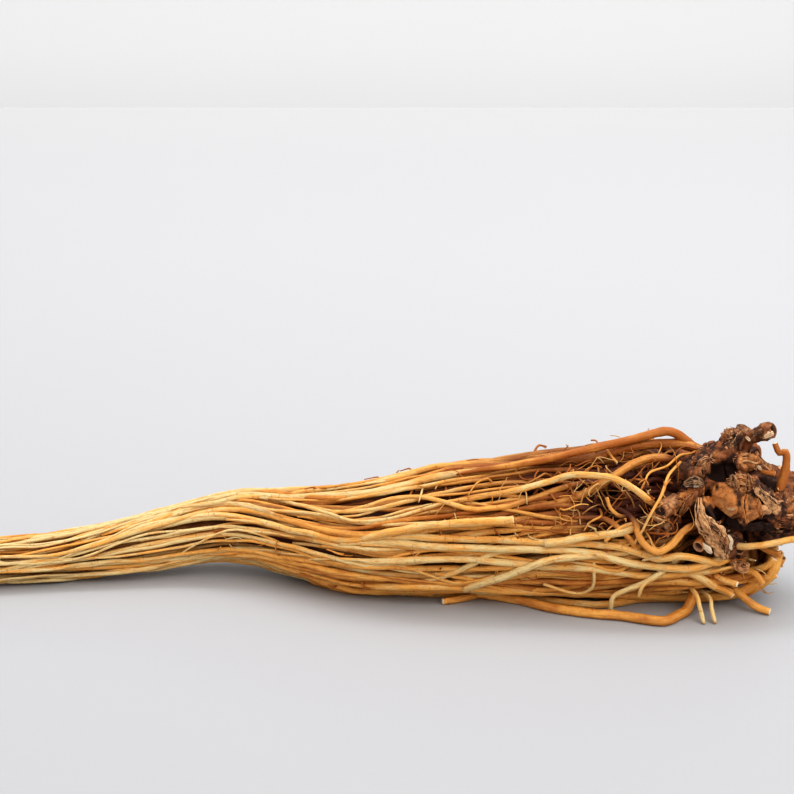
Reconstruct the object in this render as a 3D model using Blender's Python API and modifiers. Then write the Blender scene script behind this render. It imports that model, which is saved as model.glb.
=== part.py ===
"""Dried wild ginger root: a knotty rhizome with old stem stubs, and the long roots that grew from it.

The tables are in millimetres, and a shape is turned into metres where it is made. +X runs from the
trailing root tips to the rhizome, -Y faces the side with the stem stubs, and the table is at z = 0.
"""

import math
import random

import bmesh
import bpy
from mathutils import Vector, noise

MM = 0.001
SEED = 16
GOLDEN = 0.618

# The bundle of roots as stations along x: the y of its middle, its lift off the table and its radius
BUNDLE = (
    (96.0, 0.0, 7.0, 6.0),
    (89.0, 0.0, 2.5, 12.5),
    (78.0, 0.5, 0.0, 16.8),
    (61.0, 0.5, 0.0, 18.0),
    (48.0, 0.5, 0.0, 16.8),
    (34.0, 0.5, 0.0, 16.0),
    (14.0, 1.0, 0.0, 14.5),
    (-5.0, 1.4, 0.0, 12.0),
    (-19.0, 7.4, 1.4, 9.6),
    (-34.0, 12.0, 3.2, 7.8),
    (-54.0, 9.4, 1.2, 6.6),
    (-71.0, 6.2, 0.0, 6.0),
    (-99.0, 1.0, 0.0, 5.5),
)
WIDEST_X, _, _, WIDEST = max(BUNDLE, key=lambda station: station[3])

# The rhizome's middle, which every root starts from, as x, y, z at its left and right ends
RHIZOME_LEFT = (66.0, -2.0, 22.0)
RHIZOME_RIGHT = (90.0, -1.0, 20.0)

# Roots that follow the bundle
ROOT_COUNT = 42
ROOT_RADIUS = 1.0
ROOT_TIP_SHARE = 0.42
THINNEST_RADIUS = 0.36
STEP_X = 18.0
TAIL_X = -97.6
SHARED_WANDER = 0.45
OWN_WANDER = 0.14
OUTWARD_WANDER = 0.06
CORE_DEPTH = 1.5
CORE_ENDS_X = (66.0, -62.0)
FLAT_DEPTH = 0.25

# Turns round the bundle, in degrees: 0 is down, 90 the front, 180 up and -90 the back. Between these
# two the rhizome shows, so that the roots there start beside it and not on its far end.
OPEN_FROM, OPEN_TO = 62.0, 215.0
OPEN_START = (58.0, 64.0)
SHELTERED_START = (67.0, 91.0)

RHIZOME_GRAIN = 1.6
KNOT_SIZE = 5.0
KNOT_HEIGHT = 1.3
GAP = 0.45

# Rhizome limbs: x, y, z of the two ends and the radius at each
LIMBS = {
    "body_left": ((63.0, -1.0, 22.0), (78.0, -2.0, 24.0), 6.5, 8.5),
    "body_right": ((78.0, -2.0, 24.0), (92.0, 0.0, 22.0), 8.5, 6.0),
    "front_knob": ((76.5, -11.0, 27.0), (83.0, -10.0, 26.5), 5.6, 5.0),
    "right_block": ((86.0, -8.0, 23.0), (94.0, -6.0, 23.0), 5.4, 4.6),
    "upper_knob": ((80.0, -4.0, 32.0), (86.0, -3.0, 31.0), 4.6, 4.0),
    "tall_stub": ((71.0, -7.0, 29.0), (78.0, -6.0, 39.4), 2.8, 2.6),
    "tall_stub_crust": ((77.4, -6.0, 38.8), (79.0, -6.0, 40.2), 3.1, 2.7),
    "hollow_stub": ((79.5, -4.0, 33.5), (87.0, -6.0, 39.2), 2.6, 2.2),
    "flaky_stub": ((72.0, -13.5, 26.5), (78.6, -16.0, 16.6), 1.7, 3.0),
    "left_branch": ((72.0, -9.0, 30.5), (63.6, -14.0, 25.6), 3.0, 2.4),
    "dark_crust": ((73.0, -6.0, 31.0), (70.6, -9.6, 34.4), 3.0, 2.6),
    "left_bump": ((66.0, -8.0, 21.0), (63.6, -14.0, 21.2), 3.2, 2.4),
    "root_collar": ((74.0, -9.0, 18.0), (78.0, -13.0, 13.5), 5.0, 3.2),
    "back_knob": ((72.0, 5.0, 26.0), (80.0, 7.0, 27.0), 5.6, 5.0),
    "back_stub": ((80.0, 6.0, 27.0), (84.0, 14.0, 31.0), 2.8, 2.3),
    "end_knob": ((91.0, 0.0, 22.0), (96.0, 2.0, 24.0), 5.0, 3.8),
}

# Roots that leave the bundle's rule, from the rhizome outwards: radius at the start and at the tip,
# then x, y, z of each point
LOOSE_ROOTS = {
    "fallen_root": (1.2, 0.9, (
        (71.0, -8.0, 7.0), (69.5, -12.5, 3.0), (66.0, -17.5, 0.0), (62.0, -21.0, 0.0), (54.0, -18.0, 0.0),
        (45.0, -15.8, 0.0), (38.0, -13.0, 0.0), (31.0, -8.2, 0.0), (22.0, -5.2, 0.0), (8.0, -4.0, 0.0),
        (-5.0, -2.4, 0.0), (-13.0, 2.4, 0.6), (-20.0, 9.0, 2.8),
    )),
    "under_root": (1.1, 0.7, (
        (88.0, -6.0, 15.0), (86.0, -11.0, 8.0), (79.0, -10.5, 3.2), (70.0, -8.0, 1.6), (60.0, -7.6, 0.0),
        (50.0, -11.4, 0.0), (42.0, -9.4, 0.0), (32.0, -6.0, 0.0), (20.0, -3.0, 0.9),
    )),
    "arched_root": (0.9, 0.75, (
        (66.0, -12.0, 26.0), (61.6, -15.0, 27.5), (57.0, -17.5, 32.0), (50.0, -17.0, 34.4), (43.0, -15.5, 33.6),
        (36.3, -12.5, 30.6), (27.5, -10.5, 28.0), (16.0, -9.0, 25.0),
    )),
    "hooked_root": (1.0, 0.8, (
        (72.0, -10.0, 21.0), (68.0, -16.0, 20.4), (64.4, -18.6, 18.0), (61.4, -19.4, 17.2), (58.8, -18.8, 18.8),
        (57.2, -17.4, 22.0), (53.5, -14.6, 24.4), (47.0, -13.4, 25.4),
    )),
    "pale_offcut": (0.95, 1.15, (
        (52.0, -15.6, 14.5), (46.0, -17.0, 14.6), (40.0, -17.2, 14.2), (34.0, -16.6, 12.0), (27.5, -14.4, 8.4),
        (19.5, -11.0, 4.6),
    )),
    "cut_root": (1.3, 0.9, (
        (29.4, -16.6, 22.8), (22.0, -15.8, 22.0), (12.0, -14.0, 20.4), (2.0, -12.0, 18.0), (-8.0, -7.0, 14.6),
        (-18.0, 2.6, 13.5), (-30.0, 9.4, 14.0),
    )),
    "short_stub": (1.2, 1.05, (
        (77.0, -8.0, 7.0), (80.5, -13.0, 4.2), (84.0, -15.0, 2.8), (87.0, -16.2, 2.0),
    )),
    "rightward_root": (1.0, 0.85, (
        (78.0, -12.0, 17.0), (82.0, -15.5, 18.6), (89.0, -15.0, 19.2), (96.0, -13.0, 19.6),
    )),
    "curled_root": (0.95, 0.8, (
        (84.0, -3.0, 32.0), (88.0, -7.0, 37.5), (90.0, -7.6, 36.6), (91.4, -7.8, 34.0), (91.6, -8.4, 30.0),
        (90.6, -9.0, 27.0),
    )),
    "top_root": (1.3, 0.7, (
        (74.0, -1.0, 31.0), (69.0, -3.0, 35.4), (64.0, -4.0, 38.6), (56.0, -5.0, 37.0), (44.0, -5.6, 34.2),
        (30.0, -5.0, 31.4),
    )),
    "dangling_tip": (0.62, 0.45, (
        (70.0, -8.0, 5.0), (71.6, -13.0, 1.6), (72.6, -17.0, 0.8), (74.0, -21.0, 0.6),
    )),
    "split_tip": (0.62, 0.45, (
        (66.0, -13.0, 8.2), (58.0, -15.4, 8.4), (54.6, -14.8, 5.0), (52.4, -14.6, 1.6), (51.8, -15.6, 0.7),
    )),
    "back_loop": (1.1, 0.8, (
        (78.0, 8.0, 12.0), (74.0, 16.0, 5.0), (66.0, 20.6, 0.0), (52.0, 20.0, 0.0), (38.0, 16.6, 0.0),
        (24.0, 12.0, 0.0), (10.0, 7.5, 0.0),
    )),
    "back_arch": (0.9, 0.7, (
        (70.0, 8.0, 28.0), (63.0, 14.0, 31.0), (54.0, 18.6, 29.0), (44.0, 19.4, 24.0), (34.0, 16.4, 21.0),
        (22.0, 13.8, 18.0),
    )),
}


def clear_scene():
    """Empties the scene, whatever it holds."""
    for obj in list(bpy.data.objects):
        bpy.data.objects.remove(obj, do_unlink=True)


def new_collection(name):
    """A collection linked to the scene."""
    collection = bpy.data.collections.new(name)
    bpy.context.scene.collection.children.link(collection)
    return collection


def dry_material(name, colour, roughness):
    """A plain dull material."""
    material = bpy.data.materials.new(name)
    material.use_nodes = True
    shader = material.node_tree.nodes["Principled BSDF"]
    shader.inputs["Base Color"].default_value = (*colour, 1.0)
    shader.inputs["Roughness"].default_value = roughness
    shader.inputs["Metallic"].default_value = 0.0
    return material


def through(stations, x):
    """The values at x on a smooth curve through stations, which run down in x and lead with it."""
    last = len(stations) - 1
    after = next((i for i in range(1, last) if stations[i][0] <= x), last)
    before = after - 1

    def slope(i):
        low, high = stations[min(i + 1, last)], stations[max(i - 1, 0)]
        return [(b - a) / (high[0] - low[0]) for a, b in zip(low, high)]

    start, end = stations[before], stations[after]
    width = end[0] - start[0]
    t = min(max((x - start[0]) / width, 0.0), 1.0)
    ease = (2 * t**3 - 3 * t**2 + 1, t**3 - 2 * t**2 + t, 3 * t**2 - 2 * t**3, t**3 - t**2)
    return [
        ease[0] * a + ease[1] * width * leaving + ease[2] * b + ease[3] * width * arriving
        for a, leaving, b, arriving in zip(start, slope(before), end, slope(after))
    ]


def on_bundle(x, turn, share):
    """A point of the bundle at x, turn radians round from straight down, at that share of its radius."""
    _, y, lift, radius = through(BUNDLE, x)
    reach = radius * share
    return Vector((x, y - reach * math.sin(turn), lift + radius - reach * math.cos(turn)))


def on_rhizome(x):
    """The point of the rhizome's middle nearest to x."""
    left, right = Vector(RHIZOME_LEFT), Vector(RHIZOME_RIGHT)
    along = (x - left.x) / (right.x - left.x)
    return left.lerp(right, min(max(along, 0.0), 1.0))


def end_of_root(keep):
    """Where a root ends, so that the roots thin out as fast as the bundle narrows."""
    x = WIDEST_X
    while x > TAIL_X and through(BUNDLE, x)[3] / WIDEST > keep:
        x -= 1.0
    return x


def bundle_root(number, draw):
    """The middle line and radii of one root that follows the bundle."""
    degrees = 360.0 * (number + draw.uniform(-0.3, 0.3)) / ROOT_COUNT - 180.0
    in_open = OPEN_FROM < degrees % 360.0 < OPEN_TO
    start = draw.uniform(*(OPEN_START if in_open else SHELTERED_START))
    end = end_of_root(number * GOLDEN % 1.0) + draw.uniform(0.0, 8.0)
    thick = ROOT_RADIUS * draw.uniform(0.82, 1.2)
    turn = math.radians(degrees)

    points = [on_rhizome(start - 2.0), on_bundle(start + 1.0, turn, 0.62), on_bundle(start - 3.5, turn, 0.9)]
    steps = max(round((start - 9.0 - end) / STEP_X), 1)
    for step in range(steps + 1):
        x = start - 9.0 + (end - start + 9.0) * step / steps
        shared = noise.noise(Vector((x / 40.0, math.cos(turn), math.sin(turn))))
        own = noise.noise(Vector((x / 25.0, number * 3.7, 0.5)))
        outward = noise.noise(Vector((x / 22.0, number * 5.3, 7.5)))
        narrowing = WIDEST / through(BUNDLE, x)[3]
        sideways = SHARED_WANDER * shared + OWN_WANDER * own * narrowing
        points.append(on_bundle(x, turn + sideways, 0.97 + OUTWARD_WANDER * outward))
    return points, tapered(len(points), thick, thick * ROOT_TIP_SHARE)


def tapered(count, first, last):
    """Radii that keep near the first for most of the length and then fall to the last."""
    shares = [(i / (count - 1)) ** 2.5 for i in range(count)]
    return [max(first + (last - first) * share, THINNEST_RADIUS) for share in shares]


def laid_on_table(point, radius):
    """The point raised, where it must be, so that a root there rests on the table with a small flat."""
    return Vector((point.x, point.y, max(point.z, radius - FLAT_DEPTH)))


def tube(name, points, radii, collection, sides=6):
    """A closed tube along the points, as a mesh with a ring of that many sides at each of them."""
    curve = bpy.data.curves.new(name, "CURVE")
    curve.dimensions = "3D"
    curve.bevel_depth = MM
    curve.bevel_resolution = sides // 2 - 2
    curve.use_fill_caps = True
    spline = curve.splines.new("POLY")
    spline.points.add(len(points) - 1)
    for spot, point, radius in zip(spline.points, points, radii):
        spot.co = (*(point * MM), 1.0)
        spot.radius = radius
    guide = bpy.data.objects.new(name, curve)
    collection.objects.link(guide)
    evaluated = guide.evaluated_get(bpy.context.evaluated_depsgraph_get())
    mesh = bpy.data.meshes.new_from_object(evaluated)
    bpy.data.objects.remove(guide, do_unlink=True)

    sheath = bmesh.new()
    sheath.from_mesh(mesh)
    bmesh.ops.remove_doubles(sheath, verts=sheath.verts, dist=1e-6)
    bmesh.ops.recalc_face_normals(sheath, faces=sheath.faces)
    sheath.to_mesh(mesh)
    sheath.free()
    obj = bpy.data.objects.new(name, mesh)
    collection.objects.link(obj)
    return obj


def apply_modifiers(obj):
    """Leaves the object with the mesh that its modifiers make."""
    evaluated = obj.evaluated_get(bpy.context.evaluated_depsgraph_get())
    mesh = bpy.data.meshes.new_from_object(evaluated)
    obj.modifiers.clear()
    obj.data = mesh


def remove_collection(collection):
    """Removes a collection with the objects in it."""
    for obj in list(collection.objects):
        bpy.data.objects.remove(obj, do_unlink=True)
    bpy.data.collections.remove(collection)


def cut(obj, cutter):
    """Takes the cutter out of the object and removes it."""
    difference = obj.modifiers.new("cut", "BOOLEAN")
    difference.operation = "DIFFERENCE"
    difference.solver = "MANIFOLD"
    difference.object = cutter
    apply_modifiers(obj)
    bpy.data.objects.remove(cutter, do_unlink=True)


def keep_one_piece(obj):
    """Keeps only the largest piece of the mesh."""
    shape = bmesh.new()
    shape.from_mesh(obj.data)
    bmesh.ops.triangulate(shape, faces=shape.faces)
    unseen = set(shape.verts)
    pieces = []
    while unseen:
        piece, edge = set(), [unseen.pop()]
        while edge:
            vert = edge.pop()
            piece.add(vert)
            near = {e.other_vert(vert) for e in vert.link_edges} & unseen
            unseen -= near
            edge.extend(near)
        pieces.append(piece)
    pieces.sort(key=len)
    scraps = [vert for piece in pieces[:-1] for vert in piece]
    bmesh.ops.delete(shape, geom=scraps, context="VERTS")
    shape.to_mesh(obj.data)
    shape.free()


def make_rhizome(collection):
    """The rhizome with its knobs and stem stubs, run together into one knotty body."""
    limbs = new_collection("limbs")
    merged = bmesh.new()
    for name, (start, end, first, last) in LIMBS.items():
        base, tip = Vector(start), Vector(end)
        along = (tip - base).normalized()
        points = [base - along * first * 0.6, base, base.lerp(tip, 0.5), tip, tip + along * last * 0.5]
        radii = [first * 0.55, first, (first + last) / 2, last, last * 0.6]
        merged.from_mesh(tube(name, points, radii, limbs, sides=10).data)
    remove_collection(limbs)

    mesh = bpy.data.meshes.new("rhizome")
    merged.to_mesh(mesh)
    merged.free()
    obj = bpy.data.objects.new("rhizome", mesh)
    collection.objects.link(obj)
    skin = obj.modifiers.new("skin", "REMESH")
    skin.mode = "VOXEL"
    skin.voxel_size = RHIZOME_GRAIN * MM
    apply_modifiers(obj)

    knotty = bmesh.new()
    knotty.from_mesh(obj.data)
    knotty.normal_update()
    for vert in knotty.verts:
        place = vert.co / (KNOT_SIZE * MM)
        vert.co += vert.normal * noise.noise(place) * KNOT_HEIGHT * MM
    bmesh.ops.triangulate(knotty, faces=knotty.faces)
    knotty.to_mesh(obj.data)
    knotty.free()
    obj.data.materials.append(dry_material("rhizome_bark", (0.20, 0.105, 0.055), 0.85))
    return obj


def swollen_copy(obj, by):
    """A copy of the object that stands off it by that many millimetres."""
    mesh = obj.data.copy()
    shape = bmesh.new()
    shape.from_mesh(mesh)
    shape.normal_update()
    for vert in shape.verts:
        vert.co += vert.normal * by * MM
    shape.to_mesh(mesh)
    shape.free()
    copy = bpy.data.objects.new("swollen_" + obj.name, mesh)
    bpy.context.scene.collection.objects.link(copy)
    return copy


def make_roots(collection, rhizome):
    """All the roots, joined to each other and to the packed middle of the bundle."""
    draw = random.Random(SEED)
    strands = new_collection("strands")
    for number in range(ROOT_COUNT):
        points, radii = bundle_root(number, draw)
        points = [laid_on_table(point, radius) for point, radius in zip(points, radii)]
        tube(f"root_{number}", points, radii, strands)
    for name, (first, last, route) in LOOSE_ROOTS.items():
        radii = [first + (last - first) * i / (len(route) - 1) for i in range(len(route))]
        points = [laid_on_table(Vector(point), radius) for point, radius in zip(route, radii)]
        tube(name, points, radii, strands)

    first_x, last_x = CORE_ENDS_X
    steps = 11
    places = [first_x + (last_x - first_x) * i / (steps - 1) for i in range(steps)]
    middles = [on_bundle(x, 0.0, 0.0) for x in places]
    girths = [through(BUNDLE, x)[3] - CORE_DEPTH for x in places]
    girths[0] *= 0.55
    girths[-1] *= 0.35
    core = tube("roots", middles, girths, collection, sides=16)

    join = core.modifiers.new("join", "BOOLEAN")
    join.operation = "UNION"
    join.solver = "MANIFOLD"
    join.operand_type = "COLLECTION"
    join.collection = strands
    apply_modifiers(core)
    remove_collection(strands)

    cut(core, swollen_copy(rhizome, GAP))
    bpy.ops.mesh.primitive_cube_add(size=1.0, location=(0.0, 0.0, -0.01))
    table = bpy.context.object
    table.scale = (0.4, 0.2, 0.02)
    cut(core, table)
    keep_one_piece(core)
    core.data.materials.clear()
    core.data.materials.append(dry_material("root_skin", (0.66, 0.42, 0.15), 0.75))
    return core


def main():
    clear_scene()
    collection = new_collection("dried_wild_ginger_root")
    rhizome = make_rhizome(collection)
    make_roots(collection, rhizome)


main()
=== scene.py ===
"""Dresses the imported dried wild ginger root: its roots, its knotty rhizome, its rootlets and the stage.

The tables of the plant are in millimetres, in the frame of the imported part: +X runs from the trailing
root tips to the rhizome, -Y faces the side with the stem stubs, and the table is at z = 0.
"""

import math
import random

import bmesh
import bpy
from bpy.props import FloatProperty, FloatVectorProperty, IntProperty, PointerProperty
from mathutils import Matrix, Vector, noise


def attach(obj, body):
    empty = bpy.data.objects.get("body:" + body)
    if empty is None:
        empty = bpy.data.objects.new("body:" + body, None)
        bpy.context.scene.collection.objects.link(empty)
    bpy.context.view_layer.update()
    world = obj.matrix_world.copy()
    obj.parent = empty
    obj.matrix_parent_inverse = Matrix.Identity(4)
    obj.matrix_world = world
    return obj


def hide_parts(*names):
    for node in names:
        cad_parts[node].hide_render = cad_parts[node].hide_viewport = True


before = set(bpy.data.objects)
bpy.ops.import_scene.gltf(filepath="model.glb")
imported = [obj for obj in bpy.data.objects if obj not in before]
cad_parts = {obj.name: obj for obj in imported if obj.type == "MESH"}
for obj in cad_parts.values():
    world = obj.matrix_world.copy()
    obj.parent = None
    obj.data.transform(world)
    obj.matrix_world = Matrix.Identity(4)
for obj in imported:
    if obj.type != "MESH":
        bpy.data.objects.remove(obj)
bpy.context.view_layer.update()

bl_info = {
    "name": "Dried wild ginger root",
    "version": (1, 0, 0),
    "blender": (4, 5, 0),
    "location": "3D View > Sidebar > Ginger root",
    "description": "Builds the roots, the rhizome and the rootlets of a dried wild ginger root",
    "category": "Object",
}

# The part's one body, and a millimetre in metres
BODY = "root"
MM = 0.001

# Points of a piece's mesh that are nearer than this, in metres, become one
MERGE_DISTANCE = 1e-7

# Where the noise is read for a push along x, y and z, and how far apart the small and the wide bends of a
# root lie
DRIFT_KEYS = (0, 37.3, 71.9)
KINK_LENGTH, BEND_LENGTH = 6.5, 17

# The lowest that a root's middle lies over the table, as a share of its radius
SETTLED = 0.97

# The bundle of roots as stations along x: the y of its middle, its lift off the table and its radius
BUNDLE = (
    (96, 0, 7, 6),
    (89, 0, 2.5, 12.5),
    (78, 0.5, 0, 16.8),
    (61, 0.5, 0, 18),
    (48, 0.5, 0, 16.8),
    (34, 0.5, 0, 16),
    (14, 1, 0, 14.5),
    (-5, 1.4, 0, 12),
    (-19, 7.4, 1.4, 9.6),
    (-34, 12, 3.2, 7.8),
    (-54, 9.4, 1.2, 6.6),
    (-71, 6.2, 0, 6),
    (-99, 1, 0, 5.5),
)
WIDEST_X, _, _, WIDEST = max(BUNDLE, key=lambda station: station[3])

# The rhizome's middle, which every root starts from, as x, y, z at its left and right ends
RHIZOME_LEFT = (66, -2, 22)
RHIZOME_RIGHT = (90, -1, 20)

# The left end of the bundle, and the length of it over which the longest roots end
TAIL_X = -97.4
TAIL_FRAY = 14

# How far from its start a root has bent over into the bundle, and how far apart its points are from there
BENT_OVER = 9
ROUTE_STEP = 6.5

# The share of one turn by which numbered roots are spread, so that neighbours are unlike each other
GOLDEN = 0.618

# What is drawn for each root: how unevenly the roots stand round the bundle, as a share of the way to the
# next one, how far in x an end strays, how far a root strays from its neighbours, how thick it is against
# its layer and its tone. The last is the share of the roots that end in a cut.
UNEVEN = 0.4
END_STRAY = (-2, 9)
STRAYS = (0.7, 1, 1, 1, 2.6)
GIRTHS = (0.66, 1.32)
ROOT_TONES = (0.05, 0.15, 0.25, 0.3, 0.5, 0.8)
CUT_SHARE = 0.3

# How far each layer is turned on from the last, in degrees, and the length in x of the waves in which a
# root and its neighbours go sideways, in which it goes sideways alone and in which it goes in and out
LAYER_TURN = 2.3
SHARED_WAVE, OWN_WAVE, OUTWARD_WAVE = 40, 25, 19

# Changes along the bundle, each from the x where it begins to the x where it is complete. Towards the
# rhizome the upper side browns and gets painted shade, the roots get browner, the rootlets stand off further
# and the top is flat. Towards the tail the roots lie looser, get paler with less painted shade, draw
# together, and the inner ones tuck in to the middle.
NEARING_RHIZOME = (0, 46)
BROWNING = (20, 70)
STANDING_OFF = (30, 50)
FLATTENING = (0, 30)
LOOSENING = (30, -20)
PALING = (-10, -60)
NARROWING = (-40, -80)
TUCKING_IN = (-56, -88)

# Shares of the bundle's radius at which a root is in full light and quite in the others' shade
SINKING = (1.07, 0.95)

# The imported middle, painted dark as the shade between the roots: x of its right end, how far apart its
# rings are, how many rings and sides it has, its share of the bundle's radius, and where it gets thinner
# and tapers to its ends, as changes along x
MIDDLE_START, MIDDLE_STEP = 62, 2
MIDDLE_RINGS, MIDDLE_SIDES = 76, 36
MIDDLE_SHARE = 0.76
MIDDLE_THINNING = (0, -32)
MIDDLE_RIGHT_END, MIDDLE_LEFT_END = (70, 46), (-91, -66)

# Keys that the numbers of the loose roots, crown stubs and stem stubs are added to, so that no two of them
# bend alike, how far the stubs stray and how far apart the rings of each lie
LOOSE_KEY, CROWN_KEY, STEM_KEY = 300, 500, 700
CROWN_KINK, STEM_KINK = 0.2, 0.35
LOOSE_STEP, CROWN_STEP, STEM_STEP = 0.9, 1, 0.45

# How far apart the rows of a leaf scale lie, and how many columns it has
SCALE_STEP, SCALE_COLUMNS = 0.36, 16

# Turns round the bundle, in degrees: 0 is down, 90 the front, 180 up and -90 the back. Between these
# two the rhizome shows, so that the roots there start beside it and not on its far end.
OPEN_FROM, OPEN_TO = 62, 215

# Between which two x a root starts, where the rhizome shows and where it doesn't
OPEN_START = (58, 64)
SHELTERED_START = (66, 88)

# The bundle's upper side, where the roots near the rhizome are browner and get painted shade, and the flat
# stretch of its top, as the turns between which each begins and those between which it ends
UPPER_SIDE = (90, 118, 240, 285)
FLAT_TOP = (135, 165, 200, 235)

# The hollow in the bundle's front beside the rhizome, as the x of its middle, then how far it goes in x to
# each side, the share of that at which it has its full depth, its turn and how far it goes round to each
# side. The shade in it is wider than the hollow.
HOLLOW_X = 56
HOLLOW = (13, 0.3, 116, 30)
SHADED_HOLLOW = (17, 0.4, 122, 38)

# Layers of the bundle from the outside: how many roots at its widest, share of its radius, thickness,
# how much painted shade they get as they lie deeper and how much nearer to the rhizome's far end they
# start where it shows
LAYERS = (
    (46, 0.985, 0.56, 0, 0),
    (84, 0.965, 1, 0, 0),
    (70, 0.905, 1, 0.36, 4),
    (52, 0.840, 1.10, 0.66, 9),
)

# How many sides a root has in each layer
LAYER_SIDES = (6, 8, 6, 6)

# Rhizome limbs: x, y, z of the two ends and the radius at each
LIMBS = {
    "body_left": ((63, -1, 22), (78, -2, 24), 6.5, 8.5),
    "body_right": ((78, -2, 24), (92, 0, 22), 8.5, 6),
    "front_knob": ((76.2, -10.8, 26.8), (84, -11.6, 24.8), 5.5, 4.6),
    "right_block": ((86, -8, 23), (94, -6, 23), 5.4, 4.6),
    "upper_knob": ((77.8, -4.6, 31.6), (81.6, -4.4, 31), 4.3, 3.5),
    "tall_stub": ((71, -7, 29), (77.4, -6.4, 36.8), 2.8, 2.6),
    "tall_stub_crust": ((77.4, -6.4, 37.4), (79, -6.4, 37.5), 2.7, 2.2),
    "hollow_stub": ((79.5, -4, 33.5), (82.6, -6, 37.6), 1.7, 0.9),
    "flaky_stub": ((70.8, -14.2, 26), (74.4, -16.2, 18), 1.1, 1.4),
    "left_branch": ((72, -9, 30.5), (65.4, -13.4, 24.8), 2.8, 2),
    "dark_crust": ((73, -6, 31), (70.6, -9.6, 34.4), 3, 2.6),
    "left_bump": ((66, -8, 21), (62.8, -13, 20.4), 3, 2.3),
    "root_collar": ((74, -9, 18), (78, -13, 13.5), 5, 3.2),
    "back_knob": ((72, 5, 26), (80, 7, 27), 5.6, 5),
    "back_stub": ((80, 6, 27), (84, 14, 31), 2.8, 2.3),
    "right_base": ((82, -5, 17.4), (92, -4, 17), 4.6, 3.8),
    "low_base": ((72, 0, 7.8), (81, 0, 7.9), 7.2, 5.6),
    "inner_base": ((76, 0, 12), (86, 0, 13), 8, 6.5),
    "end_knob": ((91, 0, 22), (96, 2, 24), 5, 3.8),
}

# Roots that leave the bundle's rule, from the rhizome outwards: radius at the start and at the tip,
# tone from pale (0) to red-brown (1), whether the tip is a cut, then x, y, z of each point
LOOSE_ROOTS = {
    "fallen_root": (1.2, 0.9, 0.65, False, (
        (71, -8, 7), (69.5, -12.5, 3), (66, -17.5, 0), (62, -21, 0), (54, -18, 0), (45, -15.8, 0),
        (38, -13, 0), (31, -8.2, 0), (22, -5.2, 0), (8, -4, 0), (-5, -2.4, 0), (-13, 2.4, 0.6),
        (-20, 9, 2.8), (-30, 12, 4),
    )),
    "under_root": (1.1, 0.7, 0.35, False, (
        (88, -6, 15), (86, -11, 8), (79, -10.5, 3.2), (70, -8, 1.6), (60, -7.6, 0), (50, -11.4, 0),
        (42, -9.4, 0), (32, -6, 0), (20, -3, 0.9), (8, -2, 1.4),
    )),
    "arched_root": (0.78, 0.7, 0.02, False, (
        (66, -12, 23), (62.6, -14.6, 24.2), (59.7, -15.6, 26.3), (57, -16.2, 28.6), (54, -16.4, 30.7),
        (50.5, -16.2, 32.3), (47, -15.4, 32.6), (43.5, -14, 32.2), (40.1, -12.5, 31), (36.3, -11.8, 29.4),
        (27.5, -10.5, 26.8), (16, -9, 24.4),
    )),
    "hooked_root": (0.85, 0.7, 0.5, False, (
        (72, -10, 21), (69.4, -14.5, 20.6), (67.6, -16.6, 21), (66, -17.8, 20.4), (63.6, -19.2, 18.1),
        (60.7, -19.8, 16.6), (58.1, -19.4, 17.8), (56.6, -18.4, 19.9), (55.9, -17, 22.1),
        (54.5, -15, 23.4), (51.7, -13.6, 24.6), (47, -13, 25.4),
    )),
    "pale_offcut": (0.75, 0.9, 0, True, (
        (52, -15.6, 14.5), (46, -17, 14.6), (40, -17.2, 14.2), (34, -16.6, 12), (27.5, -14.4, 8.4),
        (19.5, -11, 4.6),
    )),
    "cut_root": (0.8, 0.95, 0.2, True, (
        (-30, 9.4, 14), (-18, 2.6, 13.5), (-8, -7, 14.6), (2, -12, 18), (12, -14, 20.4), (22, -15.8, 22),
        (29.4, -16.6, 22.8),
    )),
    "short_stub": (0.95, 0.8, 0.4, True, (
        (77, -8, 6), (80.4, -12, 3.4), (83.5, -13.6, 1.4), (86.4, -15.2, 0.8),
    )),
    "rightward_root": (0.8, 0.7, 0.1, True, (
        (76, -12, 15.4), (80.6, -15.6, 16.2), (88, -15.2, 17.3), (96, -13, 18.4),
    )),
    "curled_root": (1.15, 0.6, 0.8, True, (
        (88.7, -8.6, 23.4), (88.8, -9, 27.3), (89.4, -8.6, 30.2), (89.6, -8.2, 32.7), (89.3, -8, 35.1),
        (87.9, -7.6, 34.9), (86.9, -7.4, 37),
    )),
    "top_root": (1.2, 0.7, 0.75, False, (
        (74, -1, 31), (69, -3, 35.4), (64, -4, 38.6), (56, -5, 37), (44, -5.6, 34.2), (30, -5, 31.4),
        (18, -3, 28.6),
    )),
    "dangling_tip": (0.5, 0.5, -0.1, False, (
        (68, -8, 6), (69.8, -15.8, 5.1), (70.3, -18, 3.4), (70.9, -19.4, 1.4), (71.3, -20.4, 0.5),
    )),
    "split_tip": (0.75, 0.5, -0.15, True, (
        (66, -14, 12.4), (62, -17, 10.7), (58.6, -17, 8.8), (55, -16.2, 6.9), (52.1, -15.4, 4.7),
        (51.5, -15.4, 2), (51.6, -15.2, 0.6),
    )),
    "split_fork": (0.5, 0.4, -0.15, True, (
        (60.6, -16.8, 9.8), (58, -17.2, 7.6), (57.4, -16.6, 5.2),
    )),
    "back_loop": (1.1, 0.8, 0.4, False, (
        (78, 8, 12), (74, 16, 5), (66, 20.6, 0), (52, 20, 0), (38, 16.6, 0), (24, 12, 0), (10, 7.5, 0),
    )),
    "back_arch": (0.9, 0.7, 0.3, False, (
        (70, 8, 28), (63, 14, 31), (54, 18.6, 29), (44, 19.4, 24), (34, 16.4, 21), (22, 13.8, 18),
    )),
    "second_dangler": (0.48, 0.48, -0.1, False, (
        (71, -9, 4.6), (72.9, -15.4, 4.1), (73, -17.6, 2.8), (73.4, -19.2, 1.2), (73.7, -20.4, 0.4),
    )),
    "stray_stub": (0.8, 0.8, 0.6, True, (
        (27, -2, 1.2), (22, -6, 0), (15, -9, 0),
    )),
}

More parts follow.
